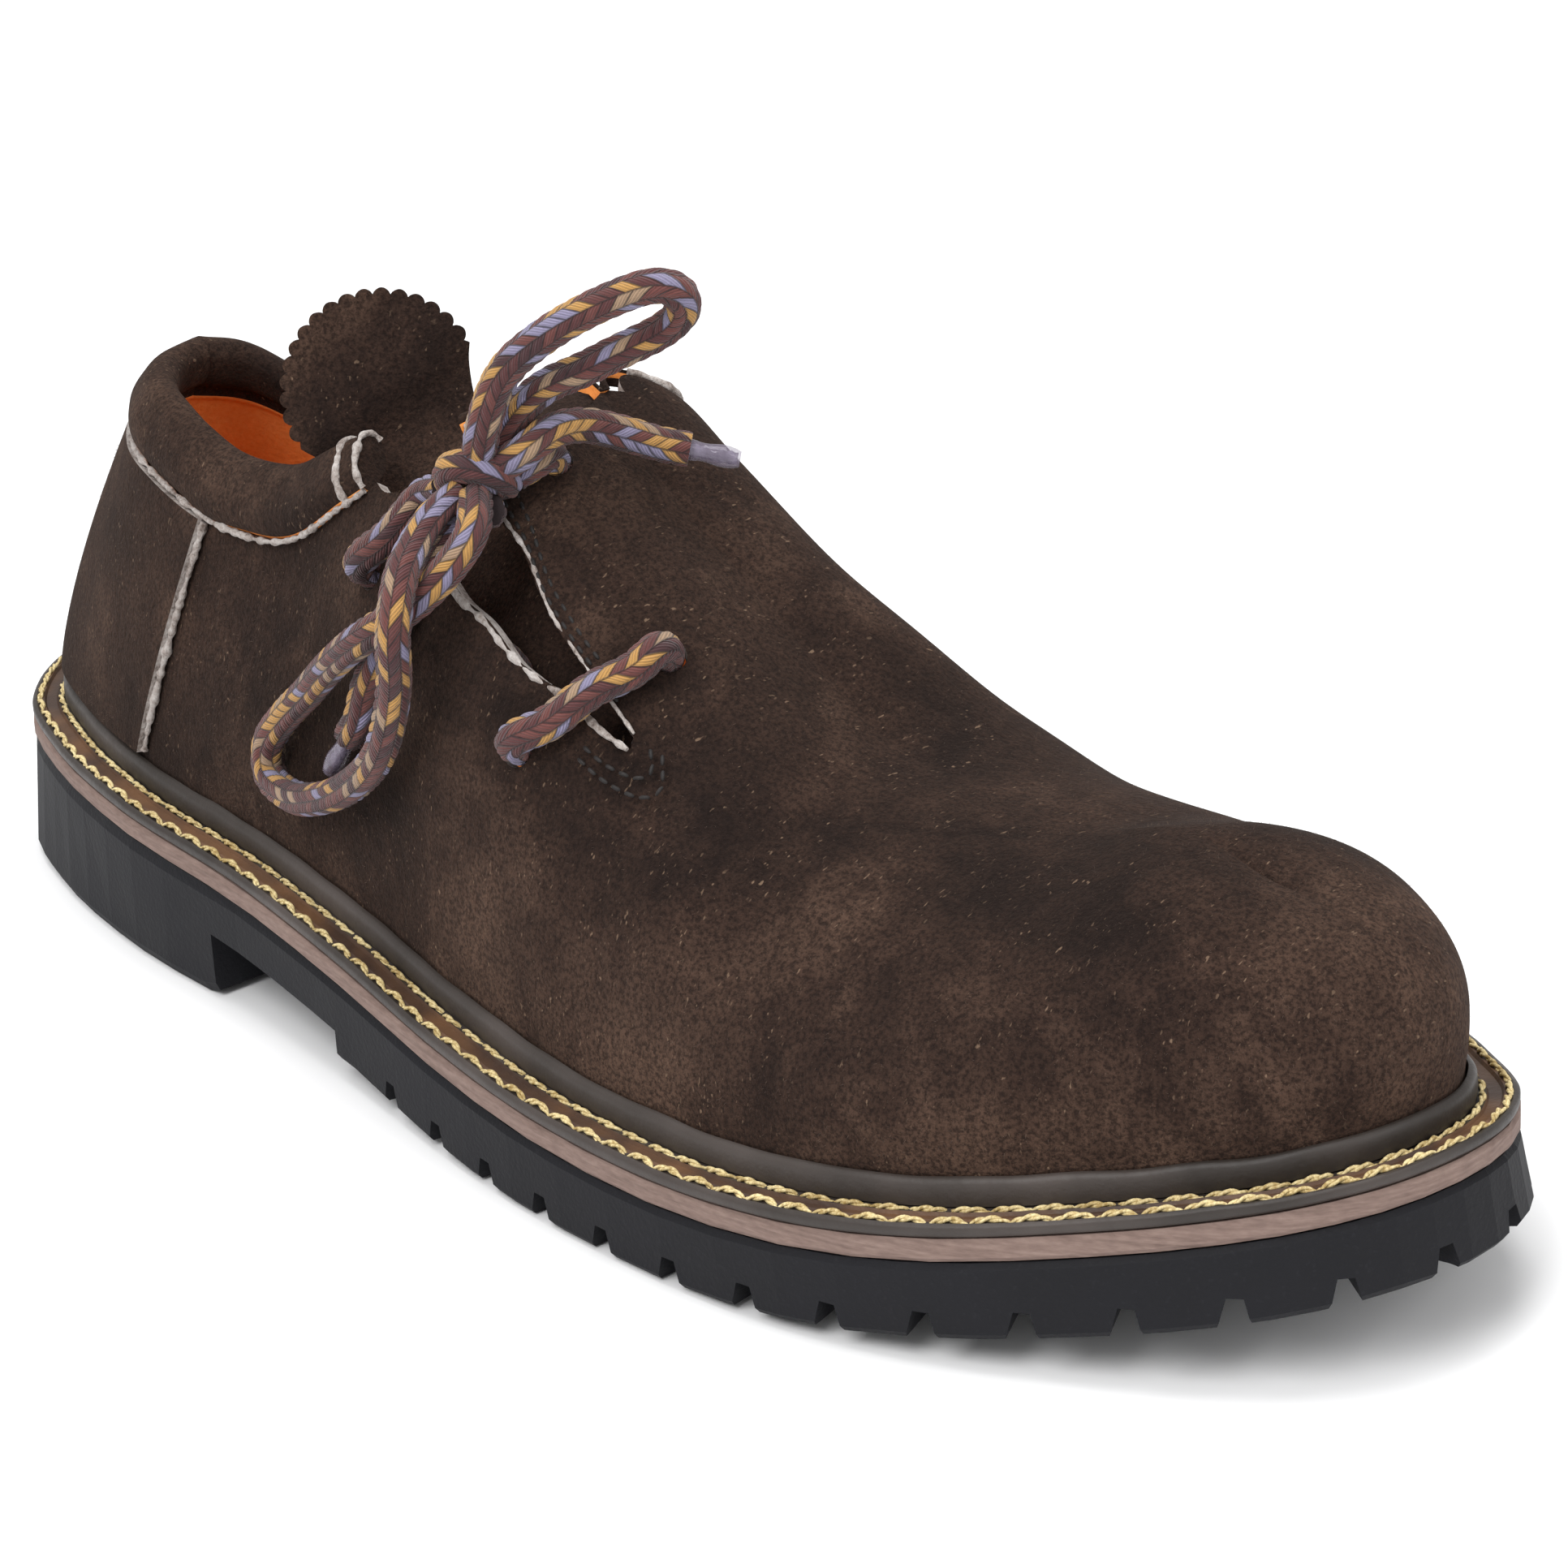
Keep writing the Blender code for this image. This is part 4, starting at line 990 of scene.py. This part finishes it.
def collarRing(side, t):
    low = float(bandShare(side, t))
    here, normal, up = skinFrame(side, t, low)
    crest = skin(side, t, 1.0)
    reach = crest - here
    height = np.linalg.norm(reach)
    rise = reach / height
    out = unit(normal - rise * np.dot(normal, rise))
    thick = collarPadding * (1 - 0.72 * float(ease(t, 0.40, throat)))
    lap = fitGap * 1.6
    bottomOut = here + normal * 0.4 * thick + up * lap
    bottomIn = here - normal * (wall + 0.2 * thick) + up * lap
    section = [
        (0.98 * thick, 0.22 * height), (0.95 * thick, 0.60 * height), (0.35 * thick, 0.92 * height),
        (-0.5 * wall, height), (-wall - 0.3 * thick, 0.93 * height),
        (-wall - 0.7 * thick, 0.70 * height), (-wall - 0.5 * thick, 0.40 * height),
        (-wall - 0.15 * thick, 0.32 * height),
    ]
    ring = [bottomOut] + [here + out * outBy + rise * upBy for outBy, upBy in section] + [bottomIn]
    return roundSection(ring, collarLook["section"])


def makeCollar():
    rings = np.array([collarRing(side, t) for side, t in collarStops()])
    middle = rings.mean(axis=1, keepdims=True)
    rings = rings + unit(rings - middle) * (ripple(rings, 16 * mm, 8) * collarLook["wobble"])[..., None]
    count = collarLook["section"]
    linedFrom = round(count * collarLook["linedShare"])
    picks = [1 if k >= linedFrom else 0 for i in range(len(rings) - 1) for k in range(count)]
    loftPiece("collar_roll", rings, [suede, lining], "collar", picks=picks)
    stops = collarStops()
    foot = []
    for side, t in stops:
        low = float(bandShare(side, t))
        here, normal, up = skinFrame(side, t, low)
        lift = 0.25 * mm + 0.25 * collarPadding * (1 - float(ease(t, 0.40, throat)))
        foot.append(here + normal * lift - up * 0.25 * mm)
    split = [k for k, (side, t) in enumerate(stops) if side > 0 and t < throat - 0.02][0]
    raggedEdge("collar_raw_edge", foot[split:], 0.52 * mm, 5)
    # The front end shows two raw edges, one behind the other
    outside = slice(0, round(count * collarLook["crestShare"]))
    for name, back in (("front", 1), ("rear", 6)):
        ring = rings[-back][outside]
        centre = rings[-back].mean(axis=0)
        raggedEdge("collar_end_" + name, ring + unit(ring - centre) * 0.15 * mm, 0.5 * mm, 15 + back)


# A frayed raw edge: a thin strip of leather end grain along a line
def raggedEdge(name, points, radius, seed):
    points = evenly(points, 0.45 * mm)
    rough = 1 + 0.35 * ripple(points, 2.2 * mm, seed)
    tube(name, points, radius, 10, [rawEdge], None, swell=np.clip(rough, 0.35, 1.6))


def evenly(points, step):
    points = np.asarray(points, float)
    knots = np.concatenate([[0], np.cumsum(np.linalg.norm(np.diff(points, axis=0), axis=1))])
    keep = np.concatenate([[True], np.diff(knots) > 1e-9])
    points = points[keep]
    knots = knots[keep]
    count = max(2, int(knots[-1] / step))
    return flow(knots, points, np.linspace(0, knots[-1], count))


def frames(points):
    # Directions that follow the line without twisting
    heading = unit(np.gradient(points, axis=0))
    aside = unit(np.cross(heading[0], (0.3, 0.2, 0.93)))
    sides = []
    for ahead in heading:
        aside = unit(aside - ahead * np.dot(aside, ahead))
        sides.append(aside)
    sides = np.array(sides)
    return heading, sides, np.cross(heading, sides)


def tube(name, points, radius, around, finishes, node, swell=None, braided=False, ride=True):
    points = np.asarray(points, float)
    heading, aside, upward = frames(points)
    turns = np.arange(around) / around
    run = np.concatenate([[0], np.cumsum(np.linalg.norm(np.diff(points, axis=0), axis=1))])
    size = np.full((len(points), around), float(radius))
    if swell is not None:
        size *= np.asarray(swell)[:, None]
    if braided:
        size *= 0.945 + braidRelief(turns[None, :] * braidLook["columns"], run[:, None] / braidLook["pitch"])
    spokes = aside[:, None] * np.cos(turns * math.tau)[None, :, None]
    spokes = spokes + upward[:, None] * np.sin(turns * math.tau)[None, :, None]
    rings = points[:, None] + spokes * size[..., None]
    vertices = rings.reshape(-1, 3)
    faces = gridFaces(len(points), around, wrapRows=True)
    bodyFaces = len(faces)
    faces += [tuple(range(around)), tuple(range((len(points) - 1) * around, len(points) * around))]
    made = meshPiece(name, vertices, faces, finishes, weld=0, node=node, smooth=60)
    if braided:
        layer = made.data.uv_layers.new(name="braid")
        places = np.zeros((len(made.data.loops), 2), np.float32)
        ends = [(0, 0), (1, 0), (1, 1), (0, 1)]
        at = 0
        for i in range(len(points) - 1):
            for k in range(around):
                for corner, (di, dk) in enumerate(ends):
                    places[at + corner] = ((k + dk) / around * braidLook["columns"],
                                           run[i + di] / braidLook["pitch"])
                at += 4
        layer.data.foreach_set("uv", places.ravel())
    if ride:
        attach(made, "root")
    return made


def braidRelief(around, along):
    column = np.floor(around + 1e-6)
    inside = around - column
    odd = column % 2
    lean = inside + odd * (1 - 2 * inside)
    phase = along + lean * braidLook["lean"] + odd * 0.5
    across = np.abs(np.sin(phase * math.pi))
    return braidLook["rise"] * (across * np.sin(np.clip(inside, 0, 1) * math.pi)) ** 0.5


counterLook = {"columns": 150, "rows": 46}
counterFoot = 0.218
counterLean = 0.079


def makeCounter():
    columns = []
    for s in np.linspace(-1, 1, counterLook["columns"]):
        side = 1 if s > 0 else -1
        reach = abs(s) * (counterFoot + counterLean)
        stop = float(bandShare(side, reach)) - 0.014
        rows = np.linspace(0.02, stop, counterLook["rows"])
        t = abs(s) * (counterFoot + counterLean * rows)
        place = skinOffset(side, t, rows, counterGap + counterThickness)
        columns.append(place)
    grid = np.array(columns)
    faces = gridFaces(grid.shape[0], grid.shape[1])
    made = meshPiece("heel_counter", grid.reshape(-1, 3), faces, [suedeHeel, suedeHeel, rawEdge],
                     node="counter")
    heelMiddle = Vector((-0.09, 0, 0.04))
    face = made.data.polygons[len(made.data.polygons) // 2]
    if (face.center - heelMiddle).dot(face.normal) < 0:
        made.data.flip_normals()
    shell = made.modifiers.new("leather", "SOLIDIFY")
    shell.thickness = counterThickness
    shell.offset = -1
    shell.material_offset_rim = 2
    settle(made)
    made.data.set_sharp_from_angle(angle=math.radians(50))
    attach(made, "root")
    for side in (-1, 1):
        stop = float(bandShare(side, counterFoot + counterLean)) - 0.02
        rows = np.linspace(0.03, stop, 40)
        edge = skinOffset(side, counterFoot + counterLean * rows + 0.0015, rows, 0.75 * mm)
        raggedEdge("counter_edge_" + ("outer" if side < 0 else "inner"), edge, 0.58 * mm, 11)


tongueDepth = wall + laceDiameter + 7 * fitGap + tongueThickness / 2


def tongueFrame(a):
    rows = np.array(tongueRows)
    knots = np.linspace(0, 1, len(rows))

    def centre(at):
        t, f, depth, rise, half, turn = flow(knots, rows, at)
        under = skinOffset(-1, np.array([t]), np.array([f]), -depth * tongueDepth)[0]
        return under + unit(tongueUpward) * rise * tongueHeadRadius

    step = 0.02
    t, f, depth, rise, half, turn = flow(knots, rows, a)
    along = unit(centre(min(a + step, 1)) - centre(max(a - step, 0)))
    skinFacing = skinFrame(-1, np.array([t]), np.array([f]))[1][0]
    face = unit(skinFacing * (1 - turn) + unit(tongueFacing) * turn)
    face = unit(face - along * np.dot(face, along))
    return centre(a), along, np.cross(along, face), face, half * tongueHeadRadius


def makeTongue():
    lengthSteps = 70
    spread = np.linspace(0, 1, 12)
    frameOf = {}

    def place(a, offset, beyond=0.0):
        if a not in frameOf:
            frameOf[a] = tongueFrame(a)
        spot, along, across, face, half = frameOf[a]
        drop = offset ** 2 / (2 * tongueCrown) * (1 - 0.85 * ease(a, 0.5, 0.9))
        return spot + across * offset + along * beyond - face * drop

    sides = []
    for direction in (-1, 1):
        side = []
        for i in range(lengthSteps):
            a = i / lengthSteps
            half = tongueFrame(a)[4]
            side.append([place(a, direction * half * v) for v in spread])
        sides.append(side)
    head = []
    headSteps = scallopCount * 10
    for i in range(headSteps + 1):
        share = i / headSteps
        turn = math.pi * (share - 0.5)
        notch = abs(math.sin(scallopCount * math.pi * share)) ** 0.7
        radius = tongueHeadRadius - tongueScallop * (1 - notch)
        shown = [1 if v < 0.75 else v for v in spread]
        head.append([place(1.0, math.sin(turn) * v * (radius if v > 0.75 else tongueHeadRadius - tongueScallop / 2),
                           math.cos(turn) * v * (radius if v > 0.75 else tongueHeadRadius - tongueScallop / 2))
                     for v in spread])
    columns = np.array(sides[0] + head + sides[1][::-1])
    faces = gridFaces(columns.shape[0], columns.shape[1])
    points = columns.reshape(-1, 3)
    face = unit(tongueFacing)
    points = points + face * (ripple(points, 22 * mm, 21) * 0.25 * mm)[:, None]
    made = meshPiece("tongue_leaf", points, faces, [suede, suede, rawEdge], node="tongue",
                     weld=0.00002)
    shell = made.modifiers.new("leather", "SOLIDIFY")
    shell.thickness = tongueThickness
    shell.offset = 0
    settle(made)
    made.data.set_sharp_from_angle(angle=math.radians(50))
    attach(made, "root")


# Lace
laceLook = {"step": 0.28 * mm, "around": 42, "wander": 0.25 * mm}


def onSkin(rows):
    rows = np.array(rows)
    return skinOffset(-1, rows[:, 0], rows[:, 1], rows[:, 2, None] * laceDiameter)


def softRoute(route, soften=0.6):
    route = np.asarray(route)
    knots = np.concatenate([[0], np.cumsum(np.linalg.norm(np.diff(route, axis=0), axis=1))])
    steps = 900
    dense = flow(knots, route, np.linspace(0, knots[-1], steps))
    window = max(1, int(soften * laceDiameter / knots[-1] * steps / 2))
    ends = np.vstack([2 * dense[0] - dense[window:0:-1], dense, 2 * dense[-1] - dense[-2:-window - 2:-1]])
    return np.mean([ends[k:k + steps] for k in range(2 * window + 1)], axis=0)


def braidCord(name, route, node):
    points = evenly(route, laceLook["step"])
    return tube(name, points, laceDiameter / 2, laceLook["around"], [braid], node, braided=True), points


def holeTurn(name, towards, outside):
    t, f = eyeletRows[name]
    here, normal, up = (v[0] for v in skinFrame(-1, np.array([t]), np.array([f])))
    bend = restLift * laceDiameter + fitGap
    away = np.asarray(towards) - here
    away = unit(away - normal * np.dot(away, normal))
    centre = here + away * bend
    sign = 1
    if not outside:
        centre = centre - normal * wall
        sign = -1
    turns = np.radians([90, 60, 30, 0])
    points = [centre + (normal * sign * math.sin(a) - away * math.cos(a)) * bend for a in turns]
    return points if outside else points[::-1]


def insideRun(first, second):
    # The run between two holes on the inner side of the leather
    (t0, f0), (t1, f1) = eyeletRows[first], eyeletRows[second]
    shares = np.linspace(0, 1, 5)[1:-1]
    depth = wall + restLift * laceDiameter + 3 * fitGap
    return list(skinOffset(-1, t0 + (t1 - t0) * shares, f0 + (f1 - f0) * shares, -depth))


def makeLace():
    hole = {name: skin(-1, np.array([t]), np.array([f]))[0] for name, (t, f) in eyeletRows.items()}
    strand = onSkin(quarterStrandRows)
    bar = onSkin(barRows)
    vampStrand = onSkin(vampStrandRows)
    knotPoints = onSkin(knotRows)
    knotMiddle = knotPoints[1]
    route = [strand[0] + (knotMiddle - strand[0]) * 0.45] + list(strand)
    route += holeTurn("quarter_upper", strand[-1], True)
    route += holeTurn("quarter_upper", hole["quarter_lower"], False)
    route += insideRun("quarter_upper", "quarter_lower")
    route += holeTurn("quarter_lower", hole["quarter_upper"], False)[::-1]
    route += holeTurn("quarter_lower", bar[0], True)[::-1]
    route += list(bar)
    route += holeTurn("vamp_lower", bar[-1], True)
    route += holeTurn("vamp_lower", hole["vamp_upper"], False)
    route += insideRun("vamp_lower", "vamp_upper")
    route += holeTurn("vamp_upper", hole["vamp_lower"], False)[::-1]
    route += holeTurn("vamp_upper", vampStrand[0], True)[::-1]
    route += [vampStrand[0] + (knotMiddle - vampStrand[0]) * 0.3]
    braidCord("lace_crossing_cord", softRoute(route), "lace_crossings")

    axis = unit(knotPoints[-1] - knotPoints[0])
    facing = skinFrame(-1, np.array([knotRows[1][0]]), np.array([knotRows[1][1]]))[1][0]
    facing = unit(facing - axis * np.dot(facing, axis))
    aside = np.cross(axis, facing)
    pitch = laceDiameter + fitGap
    turns = np.linspace(-0.68, 0.68, 60)
    knotRoute = [knotMiddle + axis * pitch * turn
                 + (facing * math.cos(math.tau * turn) + aside * math.sin(math.tau * turn)) * knotCoil
                 for turn in turns]
    knot, knotLine = braidCord("lace_knot_wrap", knotRoute, "lace_knot")

    def length(points):
        return float(np.sum(np.linalg.norm(np.diff(points, axis=0), axis=1)))

    for name, rows in (("upper", upperLoopRows), ("lower", lowerLoopRows)):
        route = onSkin(rows)
        heart = knotMiddle + (route[0] - knotMiddle) * 0.35
        close = knotMiddle + (route[-1] - knotMiddle) * 0.35
        line = softRoute([heart] + list(route) + [close], 1.2)
        loop, path = braidCord("lace_bow_" + name, line, "lace_loop_" + name)

    for name, rows, tipRow in (("front", frontEndRows, frontTipRow), ("rear", rearEndRows, rearTipRow)):
        route = onSkin(rows)
        tip = onSkin([tipRow])[0]
        heading = unit(tip - route[-1])
        heart = knotMiddle + (route[0] - knotMiddle) * 0.3
        straight = route[-1] + heading * laceDiameter
        line = list(softRoute([heart] + list(route) + [straight], 0.8))
        end, path = braidCord("lace_tail_" + name, line, "lace_end_" + name)
        clear, core = makeTip(name, path[-1] - heading * 0.8 * mm, tip)


tipLook = {"around": 20, "core": 0.62, "steps": 40}


def makeTip(name, start, end):
    points = np.linspace(start, end, tipLook["steps"])
    share = np.linspace(0, 1, tipLook["steps"])
    flat = 1 + 0.10 * np.cos(share * 9) - 0.12 * ease(share, 0.9, 1.0)
    core = tube("tip_core_" + name, points[:-2], agletDiameter / 2 * tipLook["core"], 12, [coreFinished],
                None, swell=(1 + 0.12 * np.sin(share * 40))[:-2])
    clear = tube("tip_sleeve_" + name, points, agletDiameter / 2, tipLook["around"], [clearSleeve],
                 "aglet_" + name, swell=flat)
    return clear, core


# Welt, rand and the yellow stitches
weltLook = {
    "edge": 0.5 * mm,
    "grooveOut": 2.3 * mm,
    "grooveIn": 4.6 * mm,
    "grooveDepth": 0.5 * mm,
    "channel": 0.2 * mm,
    "stitchInsets": (1.5 * mm, 5.3 * mm),
    "stitchPitch": 5.6 * mm,
    "stitchRise": 0.62 * mm,
    "ply": 0.28 * mm,
    "scallop": (-0.55 * mm, 0.55 * mm),
}


def ringPiece(name, section, base, finishes, node, picks, wave=0.0):
    loops = []
    for inset, height in section:
        loop = insetLoop(inset)
        z = base(loop[:, 0]) + height
        ring = np.column_stack([loop, z])
        if wave:
            ring[:, 2] += ripple(ring, 18 * mm, 31) * wave * (height > 0.5 * weltThickness)
        loops.append(ring)
    rings = np.stack(loops, axis=1)
    faces = gridFaces(rings.shape[0], rings.shape[1], wrapColumns=True, wrapRows=True)
    chosen = [picks[i % len(section)] for i in range(len(faces))]
    made = meshPiece(name, rings.reshape(-1, 3), faces, finishes, chosen, node=node, smooth=50)
    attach(made, "root")
    return made


def makeWelt():
    look = weltLook
    edge = look["edge"]
    innerEdge = featherInset + wall
    top = weltThickness
    grooveLow = top - look["grooveDepth"]
    first, second = look["stitchInsets"]
    channel = top - look["channel"]
    section = [
        (edge, 0.0), (0.4 * edge, 0.25 * top), (0.4 * edge, 0.7 * top), (0.8 * edge, 0.9 * top), (1.8 * edge, top),
        (first - 0.6 * mm, top), (first - 0.3 * mm, channel), (first + 0.3 * mm, channel),
        (look["grooveOut"], top), (look["grooveOut"] + 0.3 * mm, grooveLow), (look["grooveIn"] - 0.3 * mm, grooveLow),
        (look["grooveIn"], top), (second, channel), (second + 0.6 * mm, top), (innerEdge, top), (innerEdge, 0.0),
    ]
    picks = [0] * 7 + [1, 1, 1, 1, 0, 0, 0, 0, 0]
    ringPiece("welt_strip", section, lambda x: midsoleTop(x) + fitGap, [weltLeather, grooveLeather],
              "welt", picks, wave=0.08 * mm)
    randIn = featherInset - fitGap
    randOut = randIn - randThickness
    angles = np.linspace(0, math.pi / 2, 7)
    bend = 0.9 * randThickness
    section = [(randOut, 0.0), (randOut - 0.1 * mm, 0.3 * randHeight), (randOut, 0.62 * randHeight)]
    section += [(randOut + bend * (1 - math.cos(a)), 0.62 * randHeight + 0.38 * randHeight * math.sin(a))
                for a in angles[1:]]
    section += [(randIn, 0.93 * randHeight), (randIn, 0.0)]
    ringPiece("rand_strip", section, lambda x: weltTop(x) + fitGap, [weltLeather], "rand", [0] * len(section),
              wave=0.15 * mm)
    for row, inset in enumerate(look["stitchInsets"]):
        makeStitchRow("welt_stitches_" + ("outer", "inner")[row], inset, look["scallop"][row], 41 + row)


def makeStitchRow(name, inset, scallop, seed):
    look = weltLook
    loop = insetLoop(inset)
    outward = loopOutward
    closed = np.vstack([loop, loop[:1]])
    facing = np.vstack([outward, outward[:1]])
    run = np.concatenate([[0], np.cumsum(np.linalg.norm(np.diff(closed, axis=0), axis=1))])
    count = int(run[-1] / look["stitchPitch"])
    chance = np.random.default_rng(seed)
    stepsPer = 16
    around = 6
    turns = np.arange(around) / around * math.tau
    vertices = []
    faces = []
    u = np.linspace(0, 1, stepsPer)
    for k in range(count):
        at = (k + 0.02 + 0.98 * u) / count * run[-1]
        flat = np.column_stack([np.interp(at, run, closed[:, 0]), np.interp(at, run, closed[:, 1])])
        away = unit(np.column_stack([np.interp(at, run, facing[:, 0]), np.interp(at, run, facing[:, 1])]))
        arch = np.sin(u * math.pi) ** 0.7
        flat = flat + away * ((scallop * (arch - 0.5) + chance.normal(0, 0.05 * mm))[:, None])
        height = weltTop(flat[:, 0]) + look["stitchRise"] * (1.25 * arch - 0.85)
        line = np.column_stack([flat, height])
        ahead = unit(np.gradient(line, axis=0))
        aside = unit(np.cross(ahead, (0, 0, 1)))
        upward = np.cross(aside, ahead)
        for ply in (0, 1):
            spin = u * math.tau * 1.3 + ply * math.pi + k * 0.7
            middle = line + (aside * np.cos(spin)[:, None] + upward * np.sin(spin)[:, None]) * look["ply"] * 0.85
            girth = look["ply"] * (0.75 + 0.3 * arch)
            rings = middle[:, None] + (aside[:, None] * np.cos(turns)[None, :, None]
                                       + upward[:, None] * np.sin(turns)[None, :, None]) * girth[:, None, None]
            base = len(vertices)
            vertices.extend(rings.reshape(-1, 3).tolist())
            faces += gridFaces(stepsPer, around, wrapRows=True, base=base)
            faces += [tuple(base + m for m in range(around)),
                      tuple(base + (stepsPer - 1) * around + m for m in range(around))]
    made = meshPiece(name, vertices, faces, [yellowThread], weld=0, smooth=80)
    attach(made, "root")


# Dark seam stitches: short rounded bars sunk a little in the suede
seamLook = {"pitch": 2.4 * mm, "length": 1.6 * mm, "radius": 0.30 * mm, "lift": 0.22 * mm}

# Rows of place along the outer side and height share
seamRows = {
    "vamp_inner": [(0.5125, 0.985), (0.5225, 0.800), (0.5345, 0.668), (0.5560, 0.600), (0.5790, 0.584),
                   (0.5960, 0.580), (0.6100, 0.574)],
    "vamp_outer": [(0.5165, 0.990), (0.5265, 0.810), (0.5380, 0.684), (0.5580, 0.620), (0.5800, 0.603),
                   (0.5970, 0.599), (0.6100, 0.595)],
    "slit_end_inner": [(0.5980, 0.470), (0.6130, 0.478), (0.6280, 0.500), (0.6345, 0.530), (0.6310, 0.562)],
    "slit_end_outer": [(0.5960, 0.448), (0.6140, 0.456), (0.6320, 0.480), (0.6410, 0.520), (0.6370, 0.572)],
}


def makeSeams():
    table = np.array(slitRows)
    vampEdge = table[table[:, 2] < overTop]
    edge = skinOffset(-1, vampEdge[:, 0] + 0.0008, vampEdge[:, 2] + 0.004, 0.02 * mm)
    raggedEdge("vamp_raw_edge", edge, 0.30 * mm, 61)
    quarterEdge = table[2:]
    edge = skinOffset(-1, quarterEdge[:, 0] - 0.0006, quarterEdge[:, 1] - 0.006, -0.12 * mm)
    raggedEdge("quarter_raw_edge", edge, 0.50 * mm, 62)
    vertices = []
    faces = []
    turns = np.arange(6) / 6 * math.tau
    share = np.array([-0.5, -0.42, -0.2, 0.2, 0.42, 0.5])
    girth = np.array([0.3, 0.8, 1.0, 1.0, 0.8, 0.3])
    for rows in seamRows.values():
        rows = np.array(rows)
        knots = np.arange(len(rows), dtype=float)
        dense = flow(knots, rows, np.linspace(0, knots[-1], 300))
        line = skinOffset(-1, dense[:, 0], dense[:, 1], seamLook["lift"])
        normal = skinFrame(-1, dense[:, 0], dense[:, 1])[1]
        run = np.concatenate([[0], np.cumsum(np.linalg.norm(np.diff(line, axis=0), axis=1))])
        for at in np.arange(seamLook["pitch"] / 2, run[-1], seamLook["pitch"]):
            middle = np.array([np.interp(at, run, line[:, k]) for k in range(3)])
            ahead = unit(np.array([np.interp(at + 0.3 * mm, run, line[:, k]) for k in range(3)])
                         - np.array([np.interp(at - 0.3 * mm, run, line[:, k]) for k in range(3)]))
            out = unit(np.array([np.interp(at, run, normal[:, k]) for k in range(3)]))
            aside = np.cross(ahead, out)
            base = len(vertices)
            for s, g in zip(share, girth):
                centre = middle + ahead * s * seamLook["length"] - out * 0.18 * mm * (2 * s) ** 2
                vertices.extend((centre + (aside * math.cos(a) + out * math.sin(a)) * seamLook["radius"] * g).tolist()
                                for a in turns)
            faces += gridFaces(len(share), 6, wrapRows=True, base=base)
            faces += [tuple(base + m for m in range(6)), tuple(base + 30 + m for m in range(6))]
    made = meshPiece("seam_stitches", vertices, faces, [darkThread], weld=0, smooth=80)
    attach(made, "root")


# Short nap: thin fibres that stand off the suede
napLook = {"count": 24000, "length": 0.65 * mm, "width": 0.055 * mm}


def makeNap():
    chance = np.random.default_rng(7)
    count = napLook["count"]
    rows = []
    for side in (-1, 1):
        t = chance.uniform(0, 1, count // 2)
        f = chance.uniform(0.03, 0.99, count // 2) * skinTop(side, t)
        if side < 0:
            table = np.array(slitRows)
            low = np.interp(t, table[:, 0], table[:, 1], left=2, right=2)
            high = np.interp(t, table[:, 0], table[:, 2], left=2, right=2)
            inSlit = (t > table[0, 0]) & (t < table[-1, 0]) & (f > low - 0.01) & (f < high + 0.01)
            t = t[~inSlit]
            f = f[~inSlit]
        here, normal, up = skinFrame(side, t, f)
        here = skin(side, t, f)
        lift = np.where((t < counterFoot + counterLean * f) & (f < 0.8), counterGap + counterThickness, 0.0)
        rows.append((here + normal * (relief(here) + lift)[:, None], normal, up))
    here, normal, up = (np.vstack([row[k] for row in rows]) for k in range(3))
    lean = unit(chance.normal(size=here.shape) + up * -0.5)
    length = napLook["length"] * chance.uniform(0.4, 1.3, len(here))[:, None]
    ahead = unit(lean + normal * chance.uniform(0.25, 1.1, len(here))[:, None])
    aside = unit(np.cross(ahead, normal)) * napLook["width"] / 2
    start = here - normal * 0.08 * mm
    tipPoint = start + ahead * length
    vertices = np.stack([start - aside, start + aside, tipPoint], axis=1).reshape(-1, 3)
    faces = [(3 * i, 3 * i + 1, 3 * i + 2) for i in range(len(here))]
    made = meshPiece("suede_nap", vertices, faces, [napThread], weld=0, smooth=180)
    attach(made, "root")


def dressNode(name, finish):
    node = nodes[name]
    node.data.materials.clear()
    node.data.materials.append(finish)


suede = suedeFinish("brown_suede")
suedeHeel = suedeFinish("brown_suede_heel", 0.04)
rawEdge = rawEdgeFinish()
lining = liningFinish()
weltLeather = weltFinish()
grooveLeather = grooveFinish()
yellowThread = threadFinish("yellow_thread", paint(158, 132, 78), paint(230, 212, 160))
darkThread = threadFinish("dark_thread", paint(14, 10, 9), paint(26, 19, 17))
napThread = threadFinish("nap_fibre", paint(44, 32, 27), paint(104, 82, 68))
braid = braidFinish()
clearSleeve = clearFinish()
coreFinished = coreFinish()

makeCamera()
makeStudio()
print("camera and studio made")
makeLace()
print("lace made")
dressNode("outsole", rubberFinish())
dressNode("midsole", bandFinish())
dressNode("insole", lining)
makeWelt()
print("sole dressed")
makeUpper()
makeCounter()
makeCollar()
makeTongue()
print("upper made")
makeSeams()
makeNap()
print("seams and nap made")
